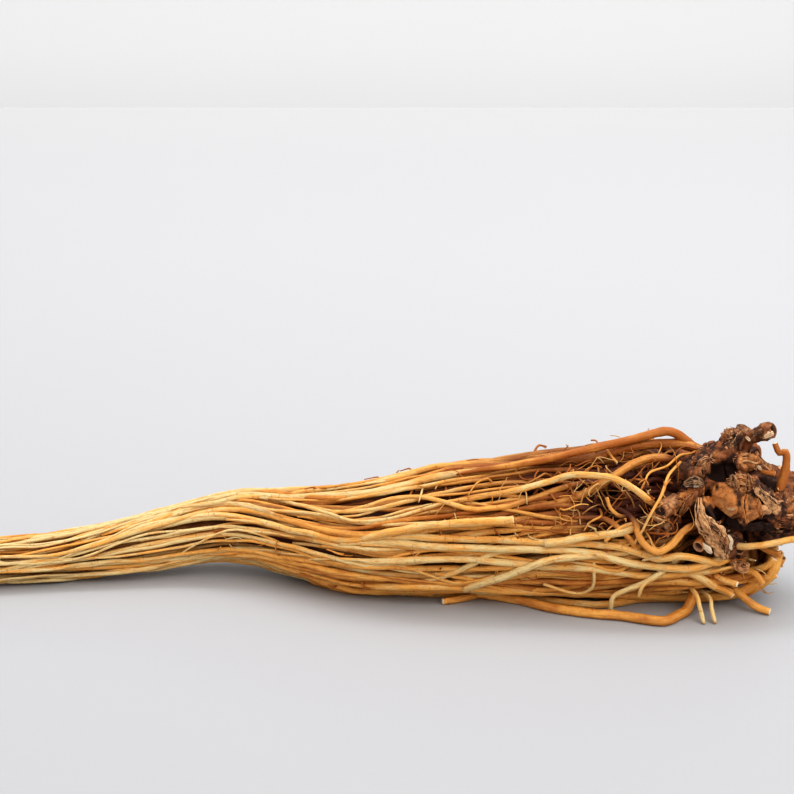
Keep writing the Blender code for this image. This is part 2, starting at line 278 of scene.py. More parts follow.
# Single roots that lie on the bundle: radius at the start and at the tip, tone, whether the tip is a cut,
# then x, the turn in degrees and the share of the bundle's radius of each point
LAID_ROOTS = {
    "bright_strand": (0.95, 0.8, 0.04, False, (
        (78, 80, 0.84), (72.4, 75, 0.99), (67.7, 71, 1.03), (61.8, 71, 1.04), (54.6, 76, 1.04),
        (51, 80, 1.04), (47.3, 85, 1.04), (40.1, 88, 1.04), (27.1, 90, 1.03), (14.2, 94, 1.03),
        (5.5, 100, 1.02), (-7.7, 102, 1),
    )),
    "second_strand": (0.85, 0.8, 0.2, False, (
        (78, 74, 0.86), (74.2, 75, 0.98), (70.3, 79, 1.03), (65.2, 81, 1.04), (60.9, 79, 1.04),
        (56.6, 83, 1.03), (50, 90, 1.02), (36, 94, 1.02), (22, 98, 1.02), (6, 106, 1.02), (-10, 110, 1),
    )),
    "pale_bit": (0.3, 0.26, -0.3, True, (
        (64, 80, 0.98), (61.5, 80, 1.07), (59.4, 80, 1.08), (57.7, 78, 1.06),
    )),
    "third_strand": (0.9, 0.75, 0.1, False, (
        (77, 62, 0.84), (72, 66, 0.97), (60.2, 62, 1.03), (52.9, 66, 1.02), (44, 72, 1.02),
        (32, 76, 1.02), (18, 82, 1.02), (2, 84, 1.02), (-14, 80, 1),
    )),
    "white_ended": (0.85, 0.95, 0.1, True, (
        (61, 104, 0.80), (57.6, 102, 0.95), (53.9, 99, 1.03), (49, 99, 1.05), (44.3, 98, 1.06),
        (36.8, 94, 1.05),
    )),
    "thin_angle": (0.4, 0.36, 0, True, (
        (47.4, 80, 0.95), (47.7, 70, 1.04), (47.7, 56, 1.08), (45.1, 47, 1.10), (41.3, 51, 1.09),
        (36.9, 57, 1.07),
    )),
    "top_pair": (1.2, 0.9, 0.45, False, (
        (74, 160, 0.86), (71.3, 164, 0.99), (65.8, 167, 1.02), (58.1, 165, 1.03), (49.4, 164, 1),
        (40.7, 166, 0.98), (26, 168, 0.96),
    )),
    "upper_curve": (0.95, 0.8, 0.4, False, (
        (66, 154, 0.9), (63.1, 152, 1), (58.7, 149, 1.04), (53.2, 142, 1.05), (47.4, 132, 1.03),
        (40, 124, 1), (28, 120, 0.98),
    )),
    "twig_down": (0.36, 0.26, 0.05, True, (
        (66.3, 148, 1.04), (63.8, 138, 1.06), (62.4, 128, 1.10), (61.2, 120, 1.13), (60, 114, 1.14),
        (58.9, 108, 1.14), (57.6, 100, 1.10), (56.2, 93, 1.06), (55.8, 88, 1.02),
    )),
    "twig_fork": (0.32, 0.22, 0.25, True, (
        (71.6, 167, 1), (68.8, 156, 1.04), (66.4, 152, 1.06), (63.1, 141, 1.08), (59.4, 136, 1.10),
        (58.2, 130, 1.08), (57.4, 126, 1.04),
    )),
    "twig_across": (0.36, 0.3, 0.3, True, (
        (47, 190, 1), (48.7, 180, 1.04), (50.4, 168, 1.07), (52.4, 150, 1.05),
    )),
    "pale_twig": (0.45, 0.4, 0.1, True, (
        (59, 104, 0.9), (55.7, 104, 1), (52.6, 102, 1.05), (49.4, 94, 1.08),
    )),
    "short_twig": (0.48, 0.42, 0.25, True, (
        (56, 108, 0.88), (52.9, 110, 1), (50.8, 116, 1.04), (50.2, 124, 1.05),
    )),
    "brown_twig": (0.7, 0.55, 0.55, False, (
        (57, 84, 0.94), (55.9, 87, 1), (54.4, 94, 1.03), (50.8, 106, 1.03), (47.3, 110, 1),
        (38, 112, 0.97),
    )),
    "chopped_side": (0.85, 0.95, 0.05, True, (
        (66, 66, 0.94), (70.9, 62, 1.02), (74.2, 54, 1.05), (78.4, 42, 1.06),
    )),
    "low_strand": (1.15, 0.9, 0.3, False, (
        (88, 84, 0.92), (86.6, 62, 1.04), (83, 40, 1.03), (77, 30, 1.02), (68, 28, 1.02), (58, 32, 1.03),
        (46, 36, 1.03), (34, 40, 1.02), (20, 46, 1.02), (4, 50, 1.02), (-12, 40, 1),
    )),
}

# Where the thin rootlets grow: how many, x from and to, turn from and to, length from and to
ROOTLET_PATCHES = (
    (130, 38, 66, 92, 165, 4, 13),
    (50, 8, 44, 88, 165, 3, 10),
    (44, -40, 56, 20, 100, 2.5, 6),
    (24, 60, 88, -60, 80, 2.5, 7),
    (60, -40, 64, 195, 320, 3, 9),
)

# How far apart a rootlet's rings lie, how wide it curls, how long its fork is and the tones drawn from
ROOTLET_STEP = 0.7
CURL_SIZE = 3.1
FORK_LENGTH = 2.6
ROOTLET_TONES = (0, 0.3, 0.6, 0.9, 1.1)

# Old stem stubs with hollow ends: how amber and how crusty they are, whether they are pale inside, where
# the others are painted dark inside as shade, then x, y, z and radius of each point
STEM_STUBS = {
    "hollow_stub": (0.3, 0.3, False, (
        (79.6, -4.6, 36, 1.3), (81.6, -6, 37.6, 1.45), (83.5, -7, 38.7, 1.65), (85.2, -7.8, 39.6, 1.85),
        (86.2, -8.4, 39.9, 1.8),
    )),
    "small_stub": (0.3, 0.3, False, (
        (68.2, -10.6, 30.6, 1.5), (69.6, -12.4, 32, 1.4), (70.8, -13.4, 32.4, 1.1),
    )),
    "left_knot": (0.3, 0.45, False, (
        (65, -13, 25.2, 2), (62.6, -15.2, 24.8, 1.9), (61.4, -16.4, 24.6, 1.7),
    )),
    "collar_ring": (0.3, 0.4, False, (
        (77.6, -13, 12.4, 1.2), (79.2, -15.8, 12, 1.2), (79.8, -16.8, 12, 1.1),
    )),
    "back_stub": (0.2, 0.4, True, ((80, 9, 28, 2.3), (83, 13, 31, 2.2), (84.6, 15, 33, 2.2))),
}

# Lumps on the limbs: x, y, z and radius
LUMPS = (
    (87.2, -11.8, 23.6, 3.3),
    (81, -13.2, 23.4, 3.5),
    (81.2, -13.2, 28.4, 2.8),
    (77.6, -13, 30, 2.1),
    (79, -8.2, 32.6, 2.8),
    (82, -8, 32.8, 2.3),
    (75.6, -8.6, 33, 2.2),
    (70.2, -11, 33.6, 1.9),
    (69, -13.2, 29.6, 1.9),
    (61.9, -15, 24.2, 2.2),
    (62.6, -12.8, 19.6, 2.9),
    (76, 10, 29, 3.2),
    (84, 6, 30, 3),
    (70, 6, 29, 3),
    (90, 5, 25, 3.4),
)

# Rings that make a lump: how far up or down they are and how wide, as shares of its radius
LUMP_RINGS = ((-0.95, 0.3), (-0.7, 0.72), (0, 1), (0.7, 0.72), (0.95, 0.3))

# Hollows pressed into the rhizome and painted dark in them as shade: x, y, z, radius and depth
HOLLOWS = (
    (86.2, -9, 29.2, 3.8, 3),
    (76.4, -11.4, 31.4, 3.4, 2.6),
    (74, -13.4, 22.4, 2.6, 1.8),
    (83, -15.6, 19.6, 3.6, 1.6),
    (73.6, -11, 31.2, 1.9, 1.2),
    (66, -13.6, 22.8, 1.9, 1),
)

# Clean breaks, where the rhizome is flat: x, y, z of the knob, its reach, the way the break faces and how
# far from the knob's middle it is
BREAKS = (
    (76.2, -10.8, 27.1, 5.9, (-0.58, -0.80, -0.16), 3.9),
    (94, -6, 23, 6, (0.70, -0.70, 0.10), 3.6),
)

# Patches of the rhizome: x, y, z, radius, then how amber and how crusty it is there, and how much painted
# shade it has in its pits and gaps and under the knob
BARK_PATCHES = (
    (74.4, -14.6, 26.6, 4.8, 1, 0, 0),
    (80.4, -15.6, 25.4, 4.6, 0.45, 0.2, 0),
    (85.6, -15, 25.6, 4.2, 0.2, 0.65, 0),
    (79, -14.6, 30.4, 3.6, 0.5, 0.25, 0),
    (82.6, -15.6, 22.6, 3.2, 0.6, 0, 0),
    (62.6, -15.4, 19.6, 3.4, 0.45, 0.6, 0),
    (81, -9, 33.8, 4.2, 0.55, 0.35, 0),
    (92, -11, 24, 5.5, 0.4, 0, 0),
    (78.2, -7.5, 38.2, 3.8, 0.05, 0.36, 0),
    (74.4, -8, 33.4, 3.6, 0.45, 0.2, 0),
    (85.8, -8, 40.2, 2.4, 0.3, 0.5, 0),
    (76.4, -16.5, 20, 5, 0.1, 0.7, 0),
    (67, -14.4, 26.6, 3.4, 0.6, 0.15, 0),
    (70.6, -11, 34.4, 2.6, 0.2, 0.35, 0),
    (61.6, -16.4, 24.4, 3.2, 0.3, 0.75, 0),
    (78.5, -13, 12.6, 4.4, 0.35, 0.35, 0),
    (83, -14, 18.6, 4.6, 0, 0, 1),
    (86.2, -8.6, 29.2, 4.8, 0, 0, 1),
    (76, -10.6, 31.4, 3.8, 0, 0, 1),
    (71.8, -12.6, 25.4, 3, 0, 0, 1),
    (73.2, -14.8, 22.6, 4.6, 0, 0, 1),
    (73.6, -10, 31.6, 2.6, 0, 0, 0.8),
)

# Where flakes of dead skin stand off the rhizome: x, y, z, radius, how many and how large they are
FLAKE_SPOTS = (
    (76.2, -16.6, 19.4, 4.4, 22, 0.6),
    (78.2, -7.5, 38.2, 3.4, 110, 0.34),
    (70.6, -10.4, 34.4, 2.8, 30, 0.55),
    (61.8, -15, 24.4, 2.9, 60, 0.45),
    (79, -14, 31.4, 3.4, 40, 0.55),
    (81.2, -8.8, 33.6, 3.2, 40, 0.45),
    (79, -13, 12.8, 4.4, 26, 0.8),
    (88, -10, 26, 4, 14, 0.7),
    (67, -13.6, 27.2, 3, 18, 0.5),
    (83, 12, 31, 5, 40, 0.8),
    (94, 1, 25, 6, 44, 0.8),
    (76, 8, 28, 7, 44, 0.8),
)
FLAKE_SEED = 7

# Sizes of the rhizome's relief: the cells between its cracks, the bumps on them and two grains
CELL_SIZE, BUMP_SIZE = 2.1, 2.6
COARSE_GRAIN, FINE_GRAIN = 1.6, 0.95

# Leaf scales and woody splinters on the rhizome: thickness, how far the edges bend back, the way it faces,
# the finish (amber, crust, dark, where dark is the scale's own darkness and painted shade on the sheaths
# under the knob), then x, y, z and half the width of each point
SCALES = {
    "flaky_plate": (0.7, 0.3, (-0.25, -1, 0.1), (0.3, 0.75, 0), (
        (69.6, -16.2, 27.7, 0.4), (69.4, -17.3, 26, 0.9), (70, -17.8, 23.9, 1.2),
        (71.4, -18.3, 21.8, 1.8), (73, -18.7, 19.6, 2.2), (74.6, -18.5, 17.2, 1.9),
        (75.6, -17.8, 14.7, 0.8),
    )),
    "flaky_upper": (0.6, 0.5, (0, -1, 0.4), (0.3, 0.45, 0), (
        (71.2, -18, 23.4, 0.4), (72.6, -19.1, 21.8, 0.9), (74.2, -19.4, 19.6, 1.1),
        (75.4, -19, 17.4, 0.8), (76.2, -18, 15.6, 0.3),
    )),
    "flaky_under": (0.6, 0.3, (0.1, -1, 0.2), (0.2, 0.4, 0.1), (
        (71.8, -16.8, 22.8, 0.8), (73.8, -17.6, 20.4, 1.5), (75.2, -17.6, 18, 1.5),
        (76.2, -16.8, 16, 0.8),
    )),
    "pale_edge": (0.3, 0.5, (-0.2, -1, -0.2), (0.1, 1.4, 0), (
        (70.4, -17.8, 18, 0.2), (71, -18.5, 17.2, 0.5), (71.7, -18.7, 16.5, 0.6), (72.5, -18.6, 16, 0.2),
    )),
    "pale_corner": (0.3, 0.6, (0.3, -1, 0.3), (0.1, 1.4, 0), (
        (75.9, -18.2, 20, 0.15), (76.6, -18.9, 18.9, 0.35), (76.4, -18.9, 17.7, 0.4),
        (76.8, -18.4, 16.8, 0.2),
    )),
    "shell_curl": (0.4, 0.9, (-0.2, -0.8, 0.6), (0, 1.2, 0.45), (
        (66.5, -14, 30, 0.5), (67.8, -14.9, 31.2, 1.1), (69.2, -14.9, 31.2, 1.2),
        (70.8, -14.2, 30.2, 0.6),
    )),
    "rosette_curl": (0.4, 0.9, (-0.4, -0.9, 0.3), (0.2, 0.45, 0), (
        (69.2, -12, 32.6, 0.5), (69.7, -13, 34, 0.9), (70.8, -13.2, 35.2, 0.8), (72.2, -12.4, 35.2, 0.4),
    )),
    "rosette_leaf": (0.4, 0.8, (0.4, -0.9, 0.2), (0.3, 0.35, 0), (
        (70.8, -12.6, 31.8, 0.5), (71.8, -13.4, 33.2, 0.9), (72, -13, 34.6, 0.5),
    )),
    "limb_bark": (0.4, 0.7, (0.2, -1, 0.3), (0.4, 0.25, 0.1), (
        (69.6, -14.2, 28.6, 0.5), (68.2, -15.2, 27.2, 0.8), (66.8, -15.6, 25.4, 0.8),
        (65.8, -15.2, 23.4, 0.4),
    )),
    "tall_side": (0.5, 0.8, (0.8, -0.8, 0.1), (0, 0.3, 0.4), (
        (78.4, -8.8, 35, 0.7), (79.4, -8.8, 37.6, 1.5), (80.2, -8, 39.6, 0.9),
    )),
    "knob_crown": (0.45, 0.6, (-0.2, -0.9, 0.5), (0.5, 0.3, 0), (
        (75.5, -14.6, 30.9, 0.5), (77.3, -15.2, 31.5, 0.9), (79.9, -15, 31.5, 1),
        (81.9, -14.6, 30.9, 0.5),
    )),
    "crown_flap": (0.35, 0.5, (-0.1, -1, -0.1), (0.4, 0.45, 0), (
        (77.4, -15.2, 29.4, 0.8), (77, -15.7, 31, 0.8), (76.4, -15.2, 32.5, 0.35),
    )),
    "crown_tip": (0.35, 0.5, (0.2, -1, 0), (0.4, 0.4, 0), (
        (80.6, -15.2, 29, 0.9), (80.4, -15.7, 30.8, 0.8), (80, -15, 32.4, 0.3),
    )),
    "knob_ridge": (0.5, 0.5, (0.5, -0.8, 0.3), (0.15, 0.6, 0), (
        (81.8, -14.6, 31.2, 0.5), (82.7, -15.4, 29.2, 0.9), (84.4, -15.4, 27.3, 1.1),
        (86.6, -14.4, 25.4, 1), (87.8, -13.2, 24, 0.5),
    )),
    "knob_rib": (0.45, 0.9, (-0.2, -1, 0), (0.75, 0.15, 0), (
        (79.6, -15.8, 28.4, 0.5), (79.2, -16.6, 26.2, 0.8), (79.6, -16.8, 23.8, 0.8),
        (80.2, -16.2, 22.2, 0.4),
    )),
    "knob_fold": (0.45, 0.9, (0.1, -1, 0), (0.55, 0.15, 0), (
        (82.2, -15.8, 27.4, 0.4), (82.6, -16.3, 25.6, 0.7), (83, -16.2, 24, 0.7),
        (83.2, -15.4, 22.8, 0.4),
    )),
    "white_spot": (0.25, 0.4, (-0.5, -0.9, 0.2), (0.3, 1.2, 0), (
        (75.8, -15.2, 24.9, 0.2), (76.6, -15.8, 25.2, 0.45), (77.4, -16.3, 25.4, 0.2),
    )),
    "stub_spot": (0.25, 0.3, (0.1, -0.9, 0.5), (0.1, 1.2, 0), (
        (80.4, -8.1, 38.9, 0.15), (80.9, -8.4, 38.5, 0.28), (81.4, -8.2, 38, 0.15),
    )),
    "stub_flesh": (0.3, 0.6, (0.15, -1, -0.1), (0.1, 1.3, 0), (
        (83.7, -8.9, 38.8, 0.3), (84.6, -9.65, 39.3, 0.8), (85.4, -10.05, 39.8, 0.85),
        (86.1, -9.9, 40.2, 0.4),
    )),
    "knob_spot": (0.25, 0.3, (0.2, -1, 0.2), (0.2, 1.25, 0), (
        (82.9, -9.4, 32.8, 0.15), (83.5, -9.6, 32.3, 0.3), (84.1, -9.2, 31.7, 0.15),
    )),
    "thin_strip": (0.3, 0.4, (0, -1, 0.3), (0.75, 0.5, 0), (
        (82.9, -8, 35.5, 0.25), (83.8, -8.8, 34, 0.35), (85.3, -9.2, 32.6, 0.35), (86.8, -9, 31, 0.25),
    )),
    # This sheath under the knob, and the low sheath, are painted dark as the shade under it
    "under_sheath": (0.45, 0.5, (0, -0.8, -0.6), (0.05, 0, 0.8), (
        (76, -13.4, 21.4, 0.7), (80, -14.4, 20.2, 1.4), (85, -13.8, 20, 1.5), (89, -12, 20.4, 0.7),
    )),
    "wedge": (0.5, 0.4, (0.2, -1, -0.1), (0.3, 0.2, 0.1), (
        (84.4, -13.4, 22.6, 0.5), (87.4, -13.6, 21.4, 1.3), (90.8, -12.2, 20.6, 1.7),
        (94.6, -9.6, 19.8, 1),
    )),
    "low_sheath": (0.5, 0.5, (0.2, -1, 0.1), (0.1, 0.15, 0.5), (
        (84.6, -13.4, 18.6, 0.8), (88.4, -12.8, 17.6, 1.6), (92.4, -10.8, 18, 1.4),
        (95.4, -8.6, 19.4, 0.6),
    )),
    "collar_curl": (0.4, 1, (0.2, -1, 0.5), (0.4, 0.5, 0), (
        (77.9, -16, 13.2, 0.4), (78.9, -16.6, 12.2, 0.8), (80.4, -16.4, 11.8, 0.8),
        (81.2, -15.8, 12.6, 0.3),
    )),
    "left_scale": (0.5, 0.8, (-0.7, -0.8, 0.2), (0.3, 0.45, 0), (
        (65.4, -15, 25, 0.6), (63.6, -16, 25.4, 1.1), (61.6, -16.6, 24.8, 1), (60.2, -16, 23.4, 0.4),
    )),
    "top_flap": (0.4, 0.6, (-0.3, -0.7, 0.8), (0.5, 0.3, 0), (
        (77.6, -9.6, 34.4, 0.5), (79.8, -10.2, 35, 1), (82, -9.8, 34.6, 1), (83.6, -9, 33.8, 0.4),
    )),
    "back_scale": (0.5, 0.7, (0.2, 1, 0.4), (0.1, 0.5, 0.1), (
        (78, 12, 27, 0.8), (81, 14, 30, 1.8), (84.6, 14.8, 32.6, 1.6), (86.8, 14, 33.6, 0.7),
    )),
    "back_flap": (0.5, 0.6, (-0.5, 1, 0.3), (0.2, 0.4, 0.1), (
        (68, 10, 27, 0.8), (71, 12, 29, 1.7), (75, 12.4, 30, 1.7), (78, 12, 29, 0.8),
    )),
}

# Short cut roots round the rhizome: radius, tone, whether the end is hollow with painted shade inside,
# then x, y, z of start and end
CROWN_STUBS = (
    (1.35, 0.95, True, (73, -12, 17.6), (69.6, -17.4, 17)),
    (0.85, 0.25, False, (82, -11, 9), (86.8, -13.6, 12.8)),
    (0.85, 0.30, False, (82, -11, 6.4), (87.6, -13.4, 9)),
    (0.80, 0.45, False, (80, -12, 9.6), (84.6, -15, 7.2)),
    (0.70, 0.20, False, (74, -14, 9), (78.6, -17, 8)),
    (0.65, 0.35, False, (73, -14, 6.6), (77.8, -16.8, 5.2)),
    (0.80, 0.55, True, (87, -8, 8), (89.8, -9.4, 11.2)),
    (0.75, 0.60, False, (87, -4, 5), (90.8, -5, 8.2)),
    (0.85, 0.40, True, (87, 3, 6), (91.4, 4, 9)),
    (0.75, 0.50, False, (86, 9, 8), (91, 10.4, 10.6)),
    (0.90, 0.35, False, (82, 12, 8), (86.6, 15.4, 9.6)),
    (0.70, 0.70, True, (84, -12, 15), (88.4, -14.6, 14.4)),
    (0.60, 0.80, False, (83, -7.6, 31.8), (87, -9.6, 30.8)),
)

# The table, and the wall that turns up behind it, in metres: width, near edge, far edge, rise and level
TABLE_SHEET = (4, -1.2, 0.86, 0, 0)
WALL_SHEET = (5, 0.9, 1.25, 1.9, -0.45)

# Soft lights in metres and watts: place, the point it faces, width and height, power and colour
LIGHTS = {
    "overhead_softbox": ((0.24, 0.12, 0.8), (0.02, 0, 0.02), (0.7, 0.6), 1.7, (0.95, 1.02, 1.06)),
    "front_softbox": ((0.46, -0.68, 0.84), (0.02, 0, 0.02), (0.8, 0.8), 3.7, (0.95, 1.02, 1.06)),
    "wall_softbox": ((0, 0.3, 0.95), (0, 1.2, 0.2), (1.8, 0.4), 7.4, (0.98, 1, 1.02)),
    "far_softbox": ((0, 0.94, 0.3), (0, 0.94, 0), (2.4, 0.1), 1.5, (1, 1, 0.9)),
}
ROOM_COLOUR = (1, 0.95, 0.915, 1)
ROOM_STRENGTH = 0.93

# The point that the camera looks at, in millimetres
CAMERA_TARGET = (4.8, 0, 45.4)


def metres(name, text, value):
    """A setting that is a length."""
    return FloatProperty(name=name, description=text, default=value, unit="LENGTH")


def plain(name, text, value):
    """A setting without a unit."""
    return FloatProperty(name=name, description=text, default=value)


def rgb(name, text, value):
    """A setting that is a colour."""
    return FloatVectorProperty(name=name, description=text, default=value, subtype="COLOR")


class BundleSizes(bpy.types.PropertyGroup):
    """Sizes of the main roots."""

    root_radius: metres("Root radius", "Radius of a main root", 0.00079)
    thinnest: metres("Thinnest tip", "Radius of the thinnest tip", 0.0003)
    spacing: metres("Point spacing", "Length between the rings of a root", 0.0021)
    kink: metres("Kinks", "How far a root strays from a smooth line", 0.00034)
    swelling: plain("Swelling", "Share by which a root's thickness varies", 0.13)
    seed: IntProperty(name="Seed", description="Picks another bundle of the same kind", default=16)


class RhizomeSizes(bpy.types.PropertyGroup):
    """Sizes of the rhizome's surface."""

    grain: metres("Grain", "Edge of the remesh's voxels", 0.00046)
    knot_size: metres("Knot size", "Size of the knots", 0.005)
    knot_height: metres("Knot height", "Height of the knots", 0.0013)
    bark_depth: metres("Bark depth", "Depth of the bark's furrows", 0.00055)
    flake_size: metres("Flake size", "Length of a flake of dead skin", 0.0017)


class RootletSizes(bpy.types.PropertyGroup):
    """Sizes of the thin rootlets."""

    thin: metres("Thin", "Radius of the thinnest rootlets", 0.00013)
    thick: metres("Thick", "Radius of the thickest rootlets", 0.00034)
    curl: plain("Curl", "How strongly a rootlet curls", 0.62)
    seed: IntProperty(name="Seed", description="Picks other rootlets of the same kind", default=5)


class FinishColours(bpy.types.PropertyGroup):
    """Colours of the dry skin and the bark."""

    straw: rgb("Straw", "Palest skin", (0.65, 0.505, 0.255))
    ochre: rgb("Ochre", "Usual skin", (0.70, 0.36, 0.088))
    russet: rgb("Russet", "Old skin", (0.38, 0.125, 0.018))
    # Umber is painted shade: inner, sunk and hollow roots and the middle are darkened towards it
    umber: rgb("Umber", "Inner roots", (0.085, 0.018, 0.003))
    cut: rgb("Cut", "White flesh of a cut end", (0.80, 0.70, 0.54))
    bark: rgb("Bark", "Rhizome bark", (0.27, 0.095, 0.030))
    # Pitch is the darkest bark, and also the painted shade in furrows, hollows, low places and stub insides
    pitch: rgb("Pitch", "Bark in furrows", (0.032, 0.010, 0.004))
    amber: rgb("Amber", "Broken knobs", (0.56, 0.235, 0.065))
    crust: rgb("Crust", "Dry crust and flakes", (0.62, 0.36, 0.18))


class StageSettings(bpy.types.PropertyGroup):
    """The table, the wall and the camera."""

    table: rgb("Table", "Colour of the table", (0.392, 0.394, 0.407))
    wall: rgb("Wall", "Colour of the wall behind", (0.47, 0.482, 0.496))
    elevation: FloatProperty(
        name="Elevation",
        description="How far the camera looks down",
        default=math.radians(16),
        subtype="ANGLE",
    )
    distance: metres("Distance", "Camera to the point it looks at", 0.4125)
    lens: plain("Lens", "Focal length in millimetres", 85.0)


def through(stations, x):
    """The values at x on a smooth curve through stations, which run down in x and lead with it."""
    last = len(stations) - 1
    after = next((i for i in range(1, last) if stations[i][0] <= x), last)
    before = after - 1

    def slope(i):
        low, high = stations[min(i + 1, last)], stations[max(i - 1, 0)]
        return [(b - a) / (high[0] - low[0]) for a, b in zip(low, high)]

    start, end = stations[before], stations[after]
    width = end[0] - start[0]
    t = min(max((x - start[0]) / width, 0), 1)
    ease = (2 * t**3 - 3 * t**2 + 1, t**3 - 2 * t**2 + t, 3 * t**2 - 2 * t**3, t**3 - t**2)
    return [
        ease[0] * a + ease[1] * width * leaving + ease[2] * b + ease[3] * width * arriving
        for a, leaving, b, arriving in zip(start, slope(before), end, slope(after))
    ]


def on_bundle(x, turn, share):
    """A point of the bundle at x, turn radians round from straight down, at that share of its radius."""
    _, y, lift, radius = through(BUNDLE, x)
    reach = radius * share
    return Vector((x, y - reach * math.sin(turn), lift + radius - reach * math.cos(turn)))


def on_rhizome(x):
    """The point of the rhizome's middle nearest to x."""
    left, right = Vector(RHIZOME_LEFT), Vector(RHIZOME_RIGHT)
    along = (x - left.x) / (right.x - left.x)
    return left.lerp(right, min(max(along, 0), 1))


def end_of_root(share):
    """Where a root ends: the x where the bundle has narrowed to that share of its widest radius."""
    x = WIDEST_X
    while x > TAIL_X and through(BUNDLE, x)[3] / WIDEST > share:
        x -= 1
    return x


def smooth_step(low, high, value):
    """0 on low's side, 1 on high's side and smooth in between, whichever of the two is the greater."""
    t = min(max((value - low) / (high - low), 0), 1)
    return t * t * (3 - 2 * t)


def within(edges, value):
    """0 outside the outer two edges, 1 between the inner two, and smooth in between."""
    start, full, fading, end = edges
    return smooth_step(start, full, value) * smooth_step(end, fading, value)


def in_hollow(facts, x, degrees):
    """1 in the middle of the hollow beside the rhizome, 0 outside it, and smooth in between."""
    width, full, turn, spread = facts
    across = smooth_step(1, full, abs(x - HOLLOW_X) / width)
    return across * smooth_step(1, 0.5, abs(degrees - turn) / spread)


def nearness(place, centre, radius, full):
    """1 within that share of the radius round the centre, and 0 beyond the radius."""
    return smooth_step(1, full, (place - Vector(centre)).length / radius)


def wave(x, y, z):
    """A number from -1 to 1 that changes smoothly from place to place."""
    return noise.noise(Vector((x, y, z)))


def drift(place):
    """A push some way, which changes smoothly from place to place."""
    return Vector(noise.noise(place + Vector((0, away, 0))) for away in DRIFT_KEYS)


def with_radii(points, radii):
    """Points that carry a radius as their fourth number."""
    return [Vector((*point, radius)) for point, radius in zip(points, radii)]


def smoothed(route, spacing):
    """A smooth line through the route's points, with a point every spacing or so."""
    ends = [2 * route[0] - route[1], *route, 2 * route[-1] - route[-2]]
    line = []
    for before, start, end, after in zip(ends, ends[1:], ends[2:], ends[3:]):
        steps = max(1, round((end - start).length / spacing))
        for i in range(steps):
            t = i / steps
            bend = (2 * before - 5 * start + 4 * end - after) * t**2
            turn = (3 * start - before - 3 * end + after) * t**3
            line.append(0.5 * (2 * start + (end - before) * t + bend + turn))
    line.append(route[-1])
    return line


def kinked(line, size, key):
    """The line with small and wide bends in it, the same for the same key."""
    bent = []
    for point in line:
        place = point.to_3d()
        shift = drift(place / KINK_LENGTH + Vector((key, 0, 0))) * size
        shift += drift(place / BEND_LENGTH + Vector((0, key, 0))) * size * 1.6
        bent.append(Vector((*(place + shift), point.w)))
    return bent


def on_table(line):
    """The line raised where it must be, so that it rests on the table."""
    return [Vector((p.x, p.y, max(p.z, p.w * SETTLED), p.w)) for p in line]


def surroundings(place):
    """How much browner a root is and how much painted shade it gets, by where it lies in the bundle."""
    _, y, lift, radius = through(BUNDLE, place.x)
    out = Vector((y - place.y, lift + radius - place.z))
    turn = math.degrees(math.atan2(out.x, out.y)) % 360
    sunk = smooth_step(*SINKING, out.length / radius)
    hollow = in_hollow(SHADED_HOLLOW, place.x, turn)
    near_rhizome = within(UPPER_SIDE, turn) * smooth_step(*NEARING_RHIZOME, place.x)
    tail = smooth_step(*PALING, place.x)
    # Painted shade falls on sunk roots, in the hollow and on top near the rhizome, and browns them there
    browner = 0.12 * smooth_step(*BROWNING, place.x) + 0.66 * near_rhizome * (0.3 + 0.7 * sunk)
    return browner - 0.3 * tail, (0.7 * hollow + 0.52 * near_rhizome) * sunk - 0.5 * tail


def linked(name, data):
    """A new object of the scene."""
    made = bpy.data.objects.new(name, data)
    bpy.context.collection.objects.link(made)
    return made


def evaluated_shape(source):
    """A bmesh of the object with its modifiers, in place of the object."""
    mesh = bpy.data.meshes.new_from_object(source.evaluated_get(bpy.context.evaluated_depsgraph_get()))
    bpy.data.objects.remove(source, do_unlink=True)
    shape = bmesh.new()
    shape.from_mesh(mesh)
    bpy.data.meshes.remove(mesh)
    return shape


def smooth_object(name, shape):
    """An object of the bmesh with smooth shading."""
    for face in shape.faces:
        face.smooth = True
    mesh = bpy.data.meshes.new(name)
    shape.to_mesh(mesh)
    shape.free()
    return linked(name, mesh)


def closed_piece(name, shape):
    """An object of the bmesh with its doubles merged and its faces outwards."""
    bmesh.ops.remove_doubles(shape, verts=shape.verts, dist=MERGE_DISTANCE)
    bmesh.ops.recalc_face_normals(shape, faces=shape.faces)
    return smooth_object(name, shape)


def finish_piece(obj, material, node):
    """Gives the piece its material and its place in the frame."""
    obj.data.materials.append(material)
    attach(obj, BODY)
    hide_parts(node)


